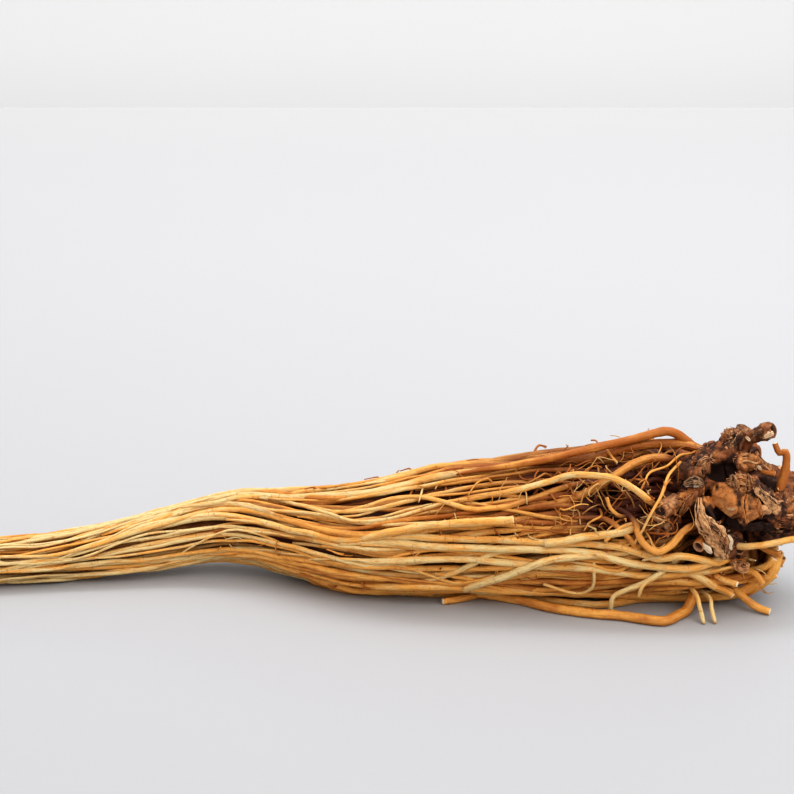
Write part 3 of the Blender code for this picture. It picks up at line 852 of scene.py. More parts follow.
class Strands:
    """Round strands that become the one mesh of a piece, with what its material reads on every point.

    The attribute grain has a place round and along the strand in millimetres. The attribute look has the
    tone, the painted shade and how much of a cut end it is, and on stem stubs how amber and crusty they
    are and how much painted shade they have.
    """

    def __init__(self, name, sides, weathering=1):
        self.name = name
        self.sides = sides
        self.weathering = weathering
        self.strands = []

    def add(self, line, tone, shade=0, cut_end=False, hollow_end=False, inside=-1):
        """Adds a strand along the line of points with radii, with a flat or a hollow end if it is cut.

        In a hollow end the third value of look is inside, and a negative one adds to the second instead. On
        root skin a negative inside paints shade in the hollow; on stem stubs a positive one paints shade and
        a negative one makes it pale.
        """
        points = [(point, 0, 0) for point in line]
        if cut_end:
            points.append((self.beyond(line, 0.16, 0.8), 1, 0))
        if hollow_end:
            points.append((self.beyond(line, 0.12, 0.8), 0.3, 0))
            # The inner ring of a hollow end carries its painted shade, or the pale inside of a pale stub
            points.append((self.beyond(line, 0.24, 0.55), inside, -line[-1].w))
        self.strands.append((points, tone, shade))

    @staticmethod
    def beyond(line, further, narrower):
        """A last point that goes further by that share of the radius and is narrower."""
        before, end = line[-2:]
        along = (end - before).to_3d().normalized() * end.w * further
        return Vector((*(end.to_3d() + along), end.w * narrower))

    def guide(self):
        """All strands as the splines of one curve object."""
        curve = bpy.data.curves.new(self.name, "CURVE")
        curve.dimensions = "3D"
        curve.bevel_depth = MM

        # A curve's bevel has twice as many sides as its resolution, and four more
        curve.bevel_resolution = self.sides // 2 - 2
        curve.use_fill_caps = True
        for points, _, _ in self.strands:
            spline = curve.splines.new("POLY")
            spline.points.add(len(points) - 1)
            for spot, (point, _, _) in zip(spline.points, points):
                spot.co = (*(point.to_3d() * MM), 1)
                spot.radius = point.w
        return linked(self.name, curve)

    def rings(self):
        """For each strand, its rings: the middle, the way it is pushed, and the grain and look round it."""
        turns = [math.tau * side / self.sides for side in range(self.sides)]
        round_it = [Vector((math.cos(turn), math.sin(turn), 0)) for turn in turns]
        made = []
        for number, (points, tone, shade) in enumerate(self.strands):
            rings, along, last = [], 0, points[0][0].to_3d()
            key = Vector((number * 7.3, number * 3.1, number * 11.7))
            for point, cut, pushed in points:
                step = point.to_3d() - last
                along += step.length
                last = point.to_3d()
                # The place in the bundle browns a root and gives it painted shade where it lies sunk or in
                # the hollow
                browner, painted_shade = surroundings(last) if self.weathering else (0, 0)
                shaded = shade + painted_shade * self.weathering + max(-cut, 0)
                look = (tone + browner * self.weathering, shaded, max(cut, 0))
                marks = [(key + ray * point.w + Vector((0, 0, along)), look) for ray in round_it]
                rings.append((last * MM, step.normalized() * pushed * MM, marks))
            made.append(rings)
        return made

    def piece(self, swelling):
        """The strands as one closed mesh object."""
        shape = evaluated_shape(self.guide())
        grain, look = (shape.verts.layers.float_vector.new(name) for name in ("grain", "look"))

        # The bmesh has the caps first, from the last strand to the first, and then each strand's rings
        strands = self.rings()
        rings = [ring for strand in reversed(strands) for ring in (strand[-1], strand[0])]
        rings += [ring for strand in strands for ring in strand]
        spots = [(middle, pushed, *mark) for middle, pushed, marks in rings for mark in marks]
        for vert, (middle, pushed, place, facts) in zip(shape.verts, spots):
            swell = noise.noise(place * 0.55) + 0.6 * noise.noise(place * 1.7)
            vert.co = middle + pushed + (vert.co - middle) * (1 + swelling * swell)
            vert[grain] = place
            vert[look] = Vector(facts)
        return closed_piece(self.name, shape)


class Link:
    """An output of a material's nodes, on which sums and products add Math nodes."""

    def __init__(self, finish, socket):
        self.finish = finish
        self.socket = socket

    def output(self, name):
        """Another output of the same node."""
        return Link(self.finish, self.socket.node.outputs[name])

    def maths(self, operation, first, second):
        return self.finish.node("ShaderNodeMath", {"operation": operation}, {0: first, 1: second})

    def __add__(self, other):
        return self.maths("ADD", self, other)

    def __sub__(self, other):
        return self.maths("SUBTRACT", self, other)

    def __rsub__(self, other):
        return self.maths("SUBTRACT", other, self)

    def __mul__(self, other):
        return self.maths("MULTIPLY", self, other)

    __radd__ = __add__
    __rmul__ = __mul__


class Finish:
    """A material with a Principled shader."""

    def __init__(self, name):
        self.material = bpy.data.materials.new(name)
        self.material.use_nodes = True
        self.tree = self.material.node_tree
        self.shader = self.tree.nodes["Principled BSDF"]

    def node(self, kind, settings=None, sockets=None, output=0):
        """Adds a node and gives one of its outputs."""
        made = self.tree.nodes.new(kind)
        for name, value in (settings or {}).items():
            setattr(made, name, value)
        for name, value in (sockets or {}).items():
            self.feed(made.inputs[name], value)
        return Link(self, made.outputs[output])

    def feed(self, socket, value):
        """Links or sets a socket."""
        if isinstance(value, Link):
            self.tree.links.new(value.socket, socket)
        else:
            socket.default_value = value

    def read(self, attribute):
        return self.node("ShaderNodeAttribute", {"attribute_name": attribute}, output="Vector")

    def place(self, scale=1):
        """The place on the object, in metres times the scale."""
        return self.stretched(self.node("ShaderNodeTexCoord", output="Object"), (scale, scale, scale))

    def stretched(self, vector, scale):
        return self.node("ShaderNodeVectorMath", {"operation": "MULTIPLY"}, {0: vector, 1: scale})

    def noise(self, vector, scale, detail=2, roughness=0.5):
        sockets = {"Vector": vector, "Scale": scale, "Detail": detail, "Roughness": roughness}
        return self.node("ShaderNodeTexNoise", {}, sockets)

    def step(self, value, low, high):
        """0 where the value is below low, 1 above high."""
        sockets = {"Value": value, "From Min": low, "From Max": high}
        return self.node("ShaderNodeMapRange", {"interpolation_type": "SMOOTHSTEP"}, sockets)

    def coated(self, colour, *coats):
        """The colour under coats, each with its factor from 0 to 1 and its colour."""
        for factor, coat in coats:
            under = colour if isinstance(colour, Link) else (*colour, 1)
            sockets = {0: factor, 6: under, 7: (*coat, 1)}
            colour = self.node("ShaderNodeMix", {"data_type": "RGBA"}, sockets, output=2)
        return colour

    def end(self, colour, roughness, height, distance, strength=0.8):
        """Ends the material with its colour, roughness and a bump of that height."""
        sockets = {"Height": height, "Distance": distance, "Strength": strength}
        bump = self.node("ShaderNodeBump", {}, sockets)
        for name, value in (("Base Color", colour), ("Roughness", roughness), ("Normal", bump)):
            self.feed(self.shader.inputs[name], value)
        return self.material


def dry_root_skin():
    """Dry root skin, wrinkled along the root, with white flesh in the cut ends and painted shade."""
    colours = bpy.context.scene.ginger_colours
    skin = Finish("dry_root_skin")
    grain = skin.read("grain")
    tone = skin.node("ShaderNodeSeparateXYZ", {}, {0: skin.read("look")})
    shade, cut = tone.output(1), tone.output(2)
    streaks = skin.noise(skin.stretched(grain, (1, 1, 0.08)), 1.5, 3)
    wrinkles = skin.noise(skin.stretched(grain, (1, 1, 0.14)), 3.6, 3, 0.6)
    patches = skin.noise(grain, 0.2, 4, 0.6)
    scars = skin.noise(skin.stretched(grain, (0.35, 0.35, 1)), 1.5)

    # The tone is partly browning that stands for painted shade on sunk roots
    age_and_shade = tone + (streaks - 0.5) * 1.1 + patches - 0.5
    colour = skin.coated(
        colours.straw,
        (skin.step(age_and_shade, -0.1, 0.45), colours.ochre),
        (skin.step(age_and_shade, 0.4, 1.15), colours.russet),
        (skin.step(scars, 0.62, 0.74) * 0.45, colours.russet),
        (skin.step(wrinkles, 0.52, 0.32) * 0.45, colours.russet),
        # Painted shade: the shade that look carries darkens the skin towards umber
        (shade + (patches - 0.5) * shade, colours.umber),
        (cut, colours.cut),
    )
    height = wrinkles * 0.7 + streaks * 0.5 - skin.step(scars, 0.6, 0.75) * 0.25
    return skin.end(colour, 0.44 + wrinkles * 0.3, height, 0.00034)


def knotty_bark():
    """Knotty bark: dark and brown bark, amber breaks, tan crust, and painted shade in furrows and hollows.
    """
    colours = bpy.context.scene.ginger_colours
    bark = Finish("knotty_bark")
    place = bark.place(1 / MM)
    amber = bark.node("ShaderNodeSeparateXYZ", {}, {0: bark.read("look")})
    crust, dark = amber.output(1), amber.output(2)
    patches = bark.noise(place, 0.3, 4, 0.6)
    mottle = bark.noise(place, 0.9, 5, 0.7)
    specks = bark.noise(place, 3.2, 3, 0.7)

    colour = bark.coated(
        colours.pitch,
        (bark.step(patches + (mottle - 0.5) * 0.5, 0.35, 0.62), colours.bark),
        (bark.step(amber + (mottle - 0.5) * 0.7, 0.25, 0.7), colours.amber),
        (bark.step(mottle, 0.54, 0.4) * amber * 0.65, colours.bark),
        (bark.step(patches + amber * 0.2, 0.68, 0.8) * 0.5, colours.crust),
        (bark.step(crust + (mottle - 0.5) * 1.1, 0.25, 0.8), colours.crust),
        (bark.step(crust, 1.1, 1.6), colours.cut),
        (bark.step(specks, 0.6, 0.72) * 0.35, colours.crust),
        (bark.step(specks, 0.44, 0.3) * 0.5, colours.pitch),
        # The third value of look is painted shade, pitch in hollows, pits, low places and stub insides
        (bark.step(dark, 0.15, 0.8), colours.pitch),
    )
    roughness = 0.8 - amber * 0.32 + (specks - 0.5) * 0.3
    return bark.end(colour, roughness, mottle * 0.6 + specks * 0.55, 0.0004)


def papery_flake():
    """Papery dead skin, from tan to grey-brown."""
    colours = bpy.context.scene.ginger_colours
    paper = Finish("papery_flake")
    place = paper.place(1 / MM)
    patches = paper.noise(place, 0.8)
    fibres = paper.noise(paper.stretched(place, (1, 1, 0.3)), 5, 3)
    colour = paper.coated(
        colours.bark,
        (paper.step(patches, 0.38, 0.62), colours.crust),
        (paper.step(fibres, 0.55, 0.7) * 0.6, colours.cut),
        (paper.step(fibres, 0.42, 0.3) * 0.6, colours.pitch),
    )
    return paper.end(colour, 0.9 - patches * 0.2, fibres, 0.0002, 0.7)


def shared_material(make):
    """The material that make builds under its own name, built once."""
    return bpy.data.materials.get(make.__name__) or make()


def bundle_line(sizes, layer, number, draw):
    """The middle line of one root that follows the bundle."""
    count, depth, thickness, _, further = LAYERS[layer]
    degrees = 360 * (number + draw.uniform(-UNEVEN, UNEVEN)) / count - 180 + layer * LAYER_TURN
    in_open = OPEN_FROM < degrees % 360 < OPEN_TO
    start = draw.uniform(*(OPEN_START if in_open else SHELTERED_START)) + further * in_open
    end = end_of_root(number * GOLDEN % 1) + draw.uniform(*END_STRAY)
    end = max(end, TAIL_X + TAIL_FRAY * draw.random() ** 1.5)
    thick = sizes.root_radius / MM * thickness * draw.uniform(*GIRTHS)
    turn = math.radians(degrees)
    stray = draw.choice(STRAYS) + (layer == 0)
    loose = stray > 2 or layer > 1
    key = number + 100 * layer
    inward = 0.9 * (3 * number * GOLDEN % 1) * (layer > 1)

    # Out of the rhizome and over the bend
    rising = 1 - 0.028 * further * in_open
    points = [on_rhizome(start - 2), on_bundle(start + 1, turn, 0.62 * rising)]
    points.append(on_bundle(start - 3.5, turn, 0.9 * depth * rising))

    # Along the bundle to the root's end
    steps = max(round((start - BENT_OVER - end) / ROUTE_STEP), 2)
    for step in range(steps + 1):
        x = start - BENT_OVER + (end - start + BENT_OVER) * step / steps
        shared = wave(x / SHARED_WAVE, math.cos(turn), math.sin(turn))
        own = wave(x / OWN_WAVE, key * 3.7, 0.5)
        outward = wave(x / OUTWARD_WAVE, key * 5.3, 7.5)
        narrowing = WIDEST / through(BUNDLE, x)[3]
        sideways = 0.45 * shared + 0.15 * own * narrowing * stray
        now = (degrees + math.degrees(sideways)) % 360
        room = 0.055 + 0.05 * smooth_step(*LOOSENING, x) * loose
        share = depth + room * outward * (1 + 0.6 * (stray > 2)) - 0.16 * in_hollow(HOLLOW, x, now)
        share *= 1 - 0.12 * smooth_step(*NARROWING, x)
        share *= 1 - inward * smooth_step(*TUCKING_IN, x)
        share *= 1 - 0.06 * within(FLAT_TOP, now) * smooth_step(*FLATTENING, x)
        points.append(on_bundle(x, turn + sideways, share))
    falls = [(i / (len(points) - 1)) ** 2.2 for i in range(len(points))]
    radii = [max(thick * (1 - 0.62 * fall), sizes.thinnest / MM) for fall in falls]
    line = smoothed(with_radii(points, radii), sizes.spacing / MM)
    return on_table(kinked(line, sizes.kink / MM, key))


class GINGER_OT_bundle(bpy.types.Operator):
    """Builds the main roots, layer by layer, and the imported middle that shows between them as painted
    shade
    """

    bl_idname = "ginger.bundle"
    bl_label = "Bundle of roots"

    def execute(self, context):
        sizes = context.scene.ginger_bundle
        skin = shared_material(dry_root_skin)
        draw = random.Random(sizes.seed)
        for layer, (count, _, _, shade, _) in enumerate(LAYERS):
            strands = Strands(f"roots_layer_{layer + 1}", LAYER_SIDES[layer])
            for number in range(count):
                line = bundle_line(sizes, layer, number, draw)
                # Deeper layers are browner and carry their layer's painted shade
                tone = draw.choice(ROOT_TONES) + 0.1 * max(layer - 1, 0)
                strands.add(line, tone, shade, cut_end=draw.random() < CUT_SHARE)
            finish_piece(strands.piece(sizes.swelling), skin, "roots")
        finish_piece(self.middle(), skin, "roots")
        return {"FINISHED"}

    @staticmethod
    def middle():
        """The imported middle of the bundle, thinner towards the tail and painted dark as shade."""
        places = [MIDDLE_START - MIDDLE_STEP * i for i in range(MIDDLE_RINGS)]
        girths = []
        for x in places:
            thinner = 0.12 * smooth_step(*MIDDLE_THINNING, x) + 0.1 * smooth_step(*NARROWING, x)
            share = MIDDLE_SHARE * smooth_step(*MIDDLE_RIGHT_END, x) - thinner
            girths.append(through(BUNDLE, x)[3] * share * smooth_step(*MIDDLE_LEFT_END, x))
        girths[0] *= 0.4
        girths[-1] *= 0.3
        middle = Strands("shaded_middle", MIDDLE_SIDES)
        # The middle is painted dark as the shade that shows between the roots
        middle.add(with_radii([on_bundle(x, 0, 0) for x in places], girths), 1, 0.95)
        return middle.piece(0.06)


class GINGER_OT_loose(bpy.types.Operator):
    """Builds the single roots that lie on the bundle or leave it"""

    bl_idname = "ginger.loose"
    bl_label = "Loose roots"

    def execute(self, context):
        sizes = context.scene.ginger_bundle
        strands = Strands("loose_roots", 10)
        routes = [(facts, [Vector(point) for point in facts[4]]) for facts in LOOSE_ROOTS.values()]
        for facts in LAID_ROOTS.values():
            routes.append((facts, [on_bundle(x, math.radians(turn), share) for x, turn, share in facts[4]]))
        for number, ((first, last, tone, cut, _), points) in enumerate(routes):
            radii = [first + (last - first) * i / (len(points) - 1) for i in range(len(points))]
            if not cut:
                radii[-1] = sizes.thinnest / MM
            line = smoothed(with_radii(points, radii), LOOSE_STEP)
            line = kinked(line, sizes.kink / MM * 0.8, LOOSE_KEY + number)
            strands.add(on_table(line), tone, cut_end=cut)
        for number, (radius, tone, hollow, start, end) in enumerate(CROWN_STUBS):
            start, end = Vector(start), Vector(end)
            bend = start.lerp(end, 0.55) + drift(end) * 1.6
            radii = [radius * 0.85, radius * 0.95, radius]
            line = smoothed(with_radii([start, bend, end], radii), CROWN_STEP)
            line = kinked(line, CROWN_KINK, CROWN_KEY + number)
            strands.add(on_table(line), tone, cut_end=not hollow, hollow_end=hollow)
        finish_piece(strands.piece(sizes.swelling * 0.8), shared_material(dry_root_skin), "roots")
        return {"FINISHED"}


def rootlet_line(origin, heading, reach, radius, curl, key):
    """A thin curling line from the origin."""
    count = max(int(reach / ROOTLET_STEP), 3)
    point, line = origin.copy(), []
    for i in range(count + 1):
        line.append(Vector((*point, radius * (1 - 0.55 * i / count))))
        heading = (heading + drift(point / CURL_SIZE + key) * curl).normalized()
        point = point + heading * ROOTLET_STEP
    return line


def kept_near(line):
    """The line pulled back where it strays more than a little from the bundle."""
    kept = []
    for point in line:
        _, y, lift, radius = through(BUNDLE, point.x)
        middle = Vector((point.x, y, lift + radius))
        out = point.to_3d() - middle
        furthest = radius + 0.7 + 1.2 * smooth_step(*STANDING_OFF, point.x)
        out = out.normalized() * max(min(out.length, furthest), radius * 0.9)
        kept.append(Vector((*(middle + out), point.w)))
    return kept


class GINGER_OT_rootlets(bpy.types.Operator):
    """Builds the thin rootlets that stand off the main roots"""

    bl_idname = "ginger.rootlets"
    bl_label = "Rootlets"

    def execute(self, context):
        sizes = context.scene.ginger_rootlets
        draw = random.Random(sizes.seed)
        strands = Strands("rootlets", 6, 0.4)
        for count, *ranges in ROOTLET_PATCHES:
            for _ in range(count):
                self.add_rootlet(strands, sizes, ranges, draw)
        finish_piece(strands.piece(0.1), shared_material(dry_root_skin), "roots")
        return {"FINISHED"}

    @staticmethod
    def add_rootlet(strands, sizes, ranges, draw):
        """One rootlet that lies along the bundle, and every other time a fork of it."""
        x_from, x_to, turn_from, turn_to, shortest, longest = ranges
        x = draw.uniform(x_from, x_to)
        turn = math.radians(draw.uniform(turn_from, turn_to))
        origin = on_bundle(x, turn, 0.95)
        outward = (origin - on_bundle(x, turn, 0)).normalized()
        heading = Vector([draw.uniform(-1, 1) for _ in range(3)])
        heading = (heading.cross(outward) * 2 + outward * draw.uniform(0.1, 0.6)).normalized()
        key = Vector((draw.uniform(0, 90), 0, 0))
        radius = draw.uniform(sizes.thin, sizes.thick) / MM
        reach = draw.uniform(shortest, longest)
        line = kept_near(rootlet_line(origin, heading, reach, radius, sizes.curl, key))
        tone = draw.choice(ROOTLET_TONES)
        strands.add(on_table(line), tone, 0.3 * draw.random(), cut_end=draw.random() < 0.25)
        if len(line) > 8 and draw.random() < 0.5:
            fork = line[len(line) // 2].to_3d()
            aside = heading.cross(outward)
            side = rootlet_line(fork, aside, FORK_LENGTH, radius * 0.7, sizes.curl, key * 2)
            strands.add(on_table(kept_near(side)), tone, 0.1)


def bark_marks(place):
    """How amber and how crusty the rhizome is at a place, and how much painted shade it has there."""
    marks = Vector((0, 0, 0))
    for x, y, z, radius, *amounts in BARK_PATCHES:
        near = nearness(place, (x, y, z), radius, 0.45)
        marks = Vector(max(old, near * amount) for old, amount in zip(marks, amounts))
    return marks


class GINGER_OT_rhizome(bpy.types.Operator):
    """Builds the rhizome with its knobs and stem stubs, and the flakes of dead skin on it"""

    bl_idname = "ginger.rhizome"
    bl_label = "Rhizome"

    def execute(self, context):
        sizes = context.scene.ginger_rhizome
        bark = shared_material(knotty_bark)
        rhizome = self.body(sizes)
        finish_piece(rhizome, bark, "rhizome")
        finish_piece(self.flakes(sizes, rhizome), shared_material(papery_flake), "rhizome")
        self.drop_crumbs(rhizome.data)
        finish_piece(self.scales(), bark, "rhizome")
        finish_piece(self.stem_stubs(), bark, "rhizome")
        return {"FINISHED"}

    def body(self, sizes):
        """The limbs run together into one body, with knots, furrows and breaks."""
        limbs = Strands("knotty_rhizome", 10, 0)

        # A limb is a strand with rounded ends, and a lump a few rings round its middle
        for start, end, first, last in LIMBS.values():
            base, tip = Vector(start), Vector(end)
            along = (tip - base).normalized()
            points = [base - along * first * 0.6, base, base.lerp(tip, 0.5), tip, tip + along * last * 0.5]
            radii = [first * 0.55, first, (first + last) / 2, last, last * 0.6]
            limbs.add(with_radii(points, radii), 0)
        for x, y, z, radius in LUMPS:
            lump = [(Vector((x, y, z + radius * rise)), radius * share) for rise, share in LUMP_RINGS]
            limbs.add(with_radii(*zip(*lump)), 0)
        rhizome = limbs.piece(0)
        skin = rhizome.modifiers.new("skin", "REMESH")
        skin.mode = "VOXEL"
        skin.voxel_size = sizes.grain

        shape = evaluated_shape(rhizome)
        axes = {f"use_axis_{axis}": True for axis in "xyz"}
        for _ in range(2):
            bmesh.ops.smooth_vert(shape, verts=shape.verts, factor=0.5, **axes)
        shape.normal_update()
        look = shape.verts.layers.float_vector.new("look")
        moved = [self.weathered(vert, look, sizes) for vert in shape.verts]
        for vert, place in zip(shape.verts, moved):
            vert.co = place
        return closed_piece("knotty_rhizome", shape)

    @staticmethod
    def drop_crumbs(mesh):
        """Removes the specks that the remesh left apart from the body."""
        shape = bmesh.new()
        shape.from_mesh(mesh)
        body, reached = set(), [max(shape.verts, key=lambda vert: vert.co.x)]
        while reached:
            vert = reached.pop()
            if vert not in body:
                body.add(vert)
                reached += [edge.other_vert(vert) for edge in vert.link_edges]
        bmesh.ops.delete(shape, geom=[vert for vert in shape.verts if vert not in body], context="VERTS")
        shape.to_mesh(mesh)
        shape.free()

    @staticmethod
    def weathered(vert, look, sizes):
        """Marks a point of the rhizome's skin and its painted shade, and gives the place its relief moves it
        to.
        """
        place = vert.co / MM
        marks = bark_marks(place)

        # Knots, cracks between cells, bumps and grain
        knots = noise.noise(vert.co / sizes.knot_size) * sizes.knot_height / MM
        near, far = noise.voronoi(place / CELL_SIZE)[0][:2]
        crack = smooth_step(0.16, 0, far - near)
        lumps = 0.35 - 0.6 * near + 0.9 * noise.noise(place / BUMP_SIZE)
        coarse = noise.noise(place / COARSE_GRAIN)
        fine = noise.noise(place / FINE_GRAIN) * (0.4 + 0.5 * marks.y) + coarse * 0.6
        rough = 1 - 0.35 * marks.x + 0.4 * marks.y
        relief = (lumps - crack * 0.6 * (1 - marks.x) + fine) * rough
        moved = place + vert.normal * (knots + relief * sizes.bark_depth / MM)

        # A hollow is pressed in and painted dark as shade, and a break is cut off flat and amber
        for x, y, z, radius, depth in HOLLOWS:
            pressed = nearness(place, (x, y, z), radius, 0.3)
            moved -= vert.normal * pressed * depth
            marks.z = max(marks.z, pressed)
        for x, y, z, reach, facing, distance in BREAKS:
            knob, plane = Vector((x, y, z)), Vector(facing).normalized()
            over = (moved - knob).dot(plane) - distance
            if (place - knob).length < reach and over > 0:
                moved -= plane * (over - 0.28 * coarse - 0.1)
                marks = Vector((max(marks.x, smooth_step(0, 0.25, over)), 0, 0))
                relief = 0.2

        # Low places are painted dark as shade, and high ones crusty
        marks.z = max(marks.z, 0.85 * smooth_step(0, -0.75, relief))
        marks.y = max(marks.y, 0.5 * smooth_step(0.55, 1.1, relief))
        vert[look] = marks
        return moved * MM

    @staticmethod
    def stem_stubs():
        """The old stems, broken off hollow."""
        stubs = Strands("stem_stubs", 24, 0)
        for number, (amber, crust, pale, route) in enumerate(STEM_STUBS.values()):
            line = smoothed([Vector(point) for point in route], STEM_STEP)
            line = kinked(line, STEM_KINK, STEM_KEY + number)
            line = [Vector((*p.to_3d(), p.w * (1 + 0.16 * noise.noise(p.to_3d() * 0.9)))) for p in line]
            # A stub that is not pale inside is painted dark inside as shade
            stubs.add(line, amber, crust, hollow_end=True, inside=-1 if pale else 1)
        return stubs.piece(0.16)

    def scales(self):
        """Leaf scales and woody splinters, each a closed plate along its route."""
        shape = bmesh.new()
        look = shape.verts.layers.float_vector.new("look")
        for number, scale in enumerate(SCALES.values()):
            line = smoothed([Vector(point) for point in scale[-1]], SCALE_STEP)
            last = len(line) - 1
            grid = {"x_segments": SCALE_COLUMNS, "y_segments": last, "size": 0.5}
            plate = bmesh.ops.create_grid(shape, **grid)["verts"]
            for vert in plate:
                side, row = vert.co.x * 2, round((vert.co.y + 0.5) * last)
                vert.co, vert[look] = self.on_scale(line, side, row, Vector((number * 9, 0, 0)), scale)
            faces = dict.fromkeys(face for vert in plate for face in vert.link_faces)
            bmesh.ops.solidify(shape, geom=list(faces), thickness=scale[0])
        bmesh.ops.scale(shape, vec=(MM, MM, MM), verts=shape.verts)
        return closed_piece("leaf_scales", shape)

    @staticmethod
    def on_scale(line, side, row, key, scale):
        """The place and the look of a point of a scale, by its side from -1 to 1 and its row."""
        _, bend, facing, (amber, crust, shade), _ = scale
        middle, width = line[row].to_3d(), line[row].w
        after, before = line[min(row + 1, len(line) - 1)], line[max(row - 1, 0)]
        along = (after - before).to_3d().normalized()
        out = Vector(facing)
        out = (out - along * out.dot(along)).normalized()
        fray = 1 + 0.4 * noise.noise(key + Vector((side * 0.6, row * 0.21, 5)))
        ridge = noise.noise(key + Vector((side * 2.4, row * 0.07, 0))) * 0.7
        ridge += noise.noise(key + Vector((side * 4.5, row * 0.4, 3))) * 0.75
        rise = ridge * min(width, 1.4) * 0.75 - bend * side * side * width
        # Painted highlight: the rims are paler; painted shade: the furrows between the ridges are darker
        pale = smooth_step(0.75, 1, abs(side))
        dark = smooth_step(0.08, -0.3, ridge) * (0.3 if crust > 1 else 0.85)
        look = Vector((amber, crust + 0.5 * pale, shade + dark * (1 - pale)))
        return middle + along.cross(out) * side * width * fray + out * rise, look

    def flakes(self, sizes, rhizome):
        """Small curled plates that stand off the crusty spots."""
        draw = random.Random(FLAKE_SEED)
        skin = bmesh.new()
        for x, y, z, radius, count, size in FLAKE_SPOTS:
            centre = Vector((x, y, z)) * MM
            near = [vert for vert in rhizome.data.vertices if (vert.co - centre).length < radius * MM]
            for vert in draw.sample(near, min(count, len(near))):
                self.add_flake(skin, vert, sizes.flake_size * size * draw.uniform(0.5, 1.3), draw)
        return closed_piece("bark_flakes", skin)

    @staticmethod
    def add_flake(skin, vert, size, draw):
        """One closed plate, narrow at its free end and curled."""
        flake = bmesh.new()
        bmesh.ops.create_grid(flake, x_segments=2, y_segments=4, size=0.5)
        curl = draw.uniform(-0.5, 0.7)
        for point in flake.verts:
            t = point.co.y + 0.5
            point.co.x *= 0.75 * (1 - 0.6 * t * t)
            point.co.x += draw.uniform(-0.12, 0.12)
            point.co.y = t + draw.uniform(-0.1, 0.1)
            point.co.z = curl * t * t + draw.uniform(-0.06, 0.06)
        bmesh.ops.solidify(flake, geom=flake.faces, thickness=0.08)

        # It stands on the bark at its broad end, leans any way and goes a little into the bark
        normal = vert.normal.normalized()
        side = normal.orthogonal().normalized()
        side.rotate(Matrix.Rotation(draw.uniform(0, math.tau), 3, normal))
        length = (side + normal * draw.uniform(0.1, 0.7)).normalized()
        across = length.cross(normal).normalized()
        turned = Matrix((across, length, across.cross(length))).transposed().to_4x4()
        place = Matrix.Translation(vert.co - normal * size * 0.12)
        bmesh.ops.transform(flake, matrix=place @ turned @ Matrix.Scale(size, 4), verts=flake.verts)
        single = bpy.data.meshes.new("flake")
        flake.to_mesh(single)
        flake.free()
        skin.from_mesh(single)
        bpy.data.meshes.remove(single)


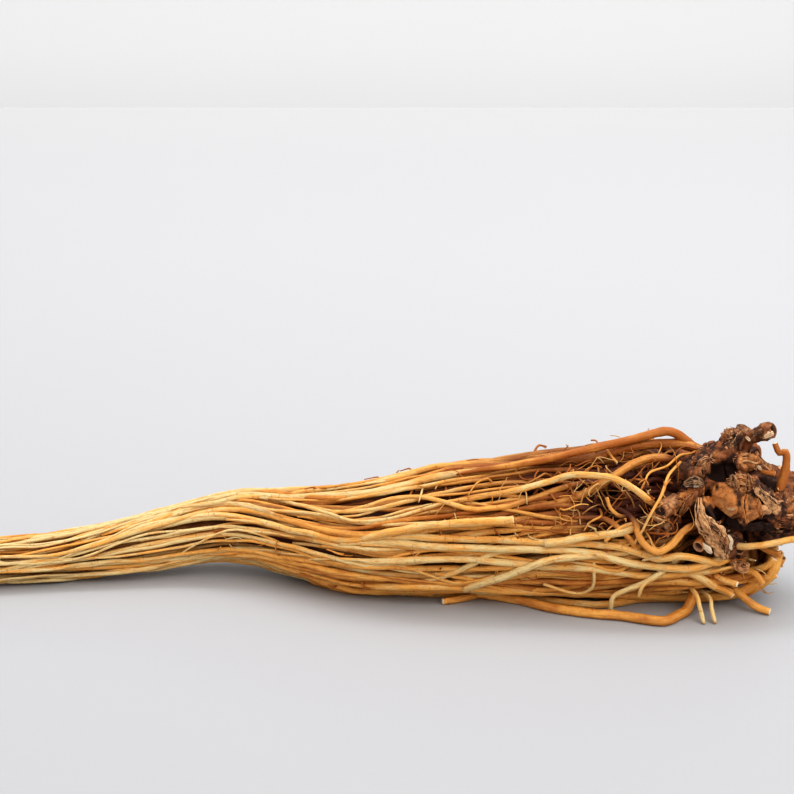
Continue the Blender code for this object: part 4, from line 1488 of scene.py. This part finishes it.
class GINGER_OT_stage(bpy.types.Operator):
    """Builds the pale table, the soft lights and the camera"""

    bl_idname = "ginger.stage"
    bl_label = "Stage"

    def execute(self, context):
        scene, stage = context.scene, context.scene.ginger_stage
        self.sheet("pale_table", stage.table, *TABLE_SHEET)
        self.sheet("pale_wall", stage.wall, *WALL_SHEET)
        for name, facts in LIGHTS.items():
            self.light(name, *facts)
        scene.world = bpy.data.worlds.new("soft_room")
        scene.world.use_nodes = True
        room = scene.world.node_tree.nodes["Background"]
        room.inputs["Color"].default_value = ROOM_COLOUR
        room.inputs["Strength"].default_value = ROOM_STRENGTH
        scene.view_settings.view_transform = "Standard"
        scene.view_settings.look = "High Contrast"
        scene.camera = self.camera(stage)
        return {"FINISHED"}

    @staticmethod
    def sheet(name, colour, width, near, far, rise, level):
        """A faintly clouded matt sheet from near to far, which turns up at its far edge if it has a rise."""
        shape = bmesh.new()
        bmesh.ops.create_grid(shape, x_segments=1, y_segments=1, size=1)
        for vert in shape.verts:
            vert.co = (vert.co.x * width / 2, near if vert.co.y < 0 else far, 0)
        if rise:
            middle = (near + far) / 2
            fold = [edge for edge in shape.edges if all(vert.co.y > middle for vert in edge.verts)]
            made = bmesh.ops.extrude_edge_only(shape, edges=fold)["geom"]
            raised = [item for item in made if isinstance(item, bmesh.types.BMVert)]
            bmesh.ops.translate(shape, vec=(0, 0, rise), verts=raised)
            bmesh.ops.bevel(
                shape, geom=fold, offset=0.04, segments=10, profile=0.5, affect="EDGES", material=-1
            )
        bmesh.ops.translate(shape, vec=(0, 0, level), verts=shape.verts)
        sheet = smooth_object(name, shape)

        matt = Finish(f"{name}_paint")
        cloud = matt.noise(matt.place(), 3)
        paint = matt.coated(colour, (cloud, [0.97 * part for part in colour]))
        sheet.data.materials.append(matt.end(paint, 0.55 + cloud * 0.1, cloud, 0.0001, 0.1))
        return sheet

    @staticmethod
    def light(name, place, target, size, power, colour):
        """A rectangular soft light that faces the target."""
        lamp = bpy.data.lights.new(name, "AREA")
        lamp.shape = "RECTANGLE"
        lamp.size, lamp.size_y = size
        lamp.energy = power
        lamp.color = colour
        light = linked(name, lamp)
        light.location = place
        light.rotation_euler = (Vector(target) - light.location).to_track_quat("-Z", "Y").to_euler()

    @staticmethod
    def camera(stage):
        """The camera at the photograph's viewing angle."""
        away = Vector((0, -math.cos(stage.elevation), math.sin(stage.elevation)))
        view = bpy.data.cameras.new("view")
        view.lens = stage.lens
        view.clip_start = 0.01
        camera = linked("view", view)
        camera.location = Vector(CAMERA_TARGET) * MM + away * stage.distance
        camera.rotation_euler = (-away).to_track_quat("-Z", "Y").to_euler()
        return camera


class GINGER_PT_panel(bpy.types.Panel):
    """Lists the sizes, the colours and the pieces"""

    bl_idname = "GINGER_PT_panel"
    bl_label = "Dried wild ginger root"
    bl_space_type = "VIEW_3D"
    bl_region_type = "UI"
    bl_category = "Ginger root"

    def draw(self, context):
        for group in SETTINGS:
            box = self.layout.box()
            settings = getattr(context.scene, group)
            for name in settings.bl_rna.properties.keys():
                if name not in ("rna_type", "name"):
                    box.prop(settings, name)
        for operator in OPERATORS:
            self.layout.operator(operator.bl_idname)


SETTINGS = {
    "ginger_bundle": BundleSizes,
    "ginger_rhizome": RhizomeSizes,
    "ginger_rootlets": RootletSizes,
    "ginger_colours": FinishColours,
    "ginger_stage": StageSettings,
}
OPERATORS = (GINGER_OT_rhizome, GINGER_OT_bundle, GINGER_OT_loose, GINGER_OT_rootlets, GINGER_OT_stage)
CLASSES = (*SETTINGS.values(), *OPERATORS, GINGER_PT_panel)


def register():
    for kind in CLASSES:
        bpy.utils.register_class(kind)
    for name, kind in SETTINGS.items():
        setattr(bpy.types.Scene, name, PointerProperty(type=kind))


def unregister():
    for name in SETTINGS:
        delattr(bpy.types.Scene, name)
    for kind in reversed(CLASSES):
        bpy.utils.unregister_class(kind)


def main():
    register()
    bpy.ops.ginger.rhizome()
    bpy.ops.ginger.bundle()
    bpy.ops.ginger.loose()
    bpy.ops.ginger.rootlets()
    bpy.ops.ginger.stage()


if __name__ == "__main__":
    main()
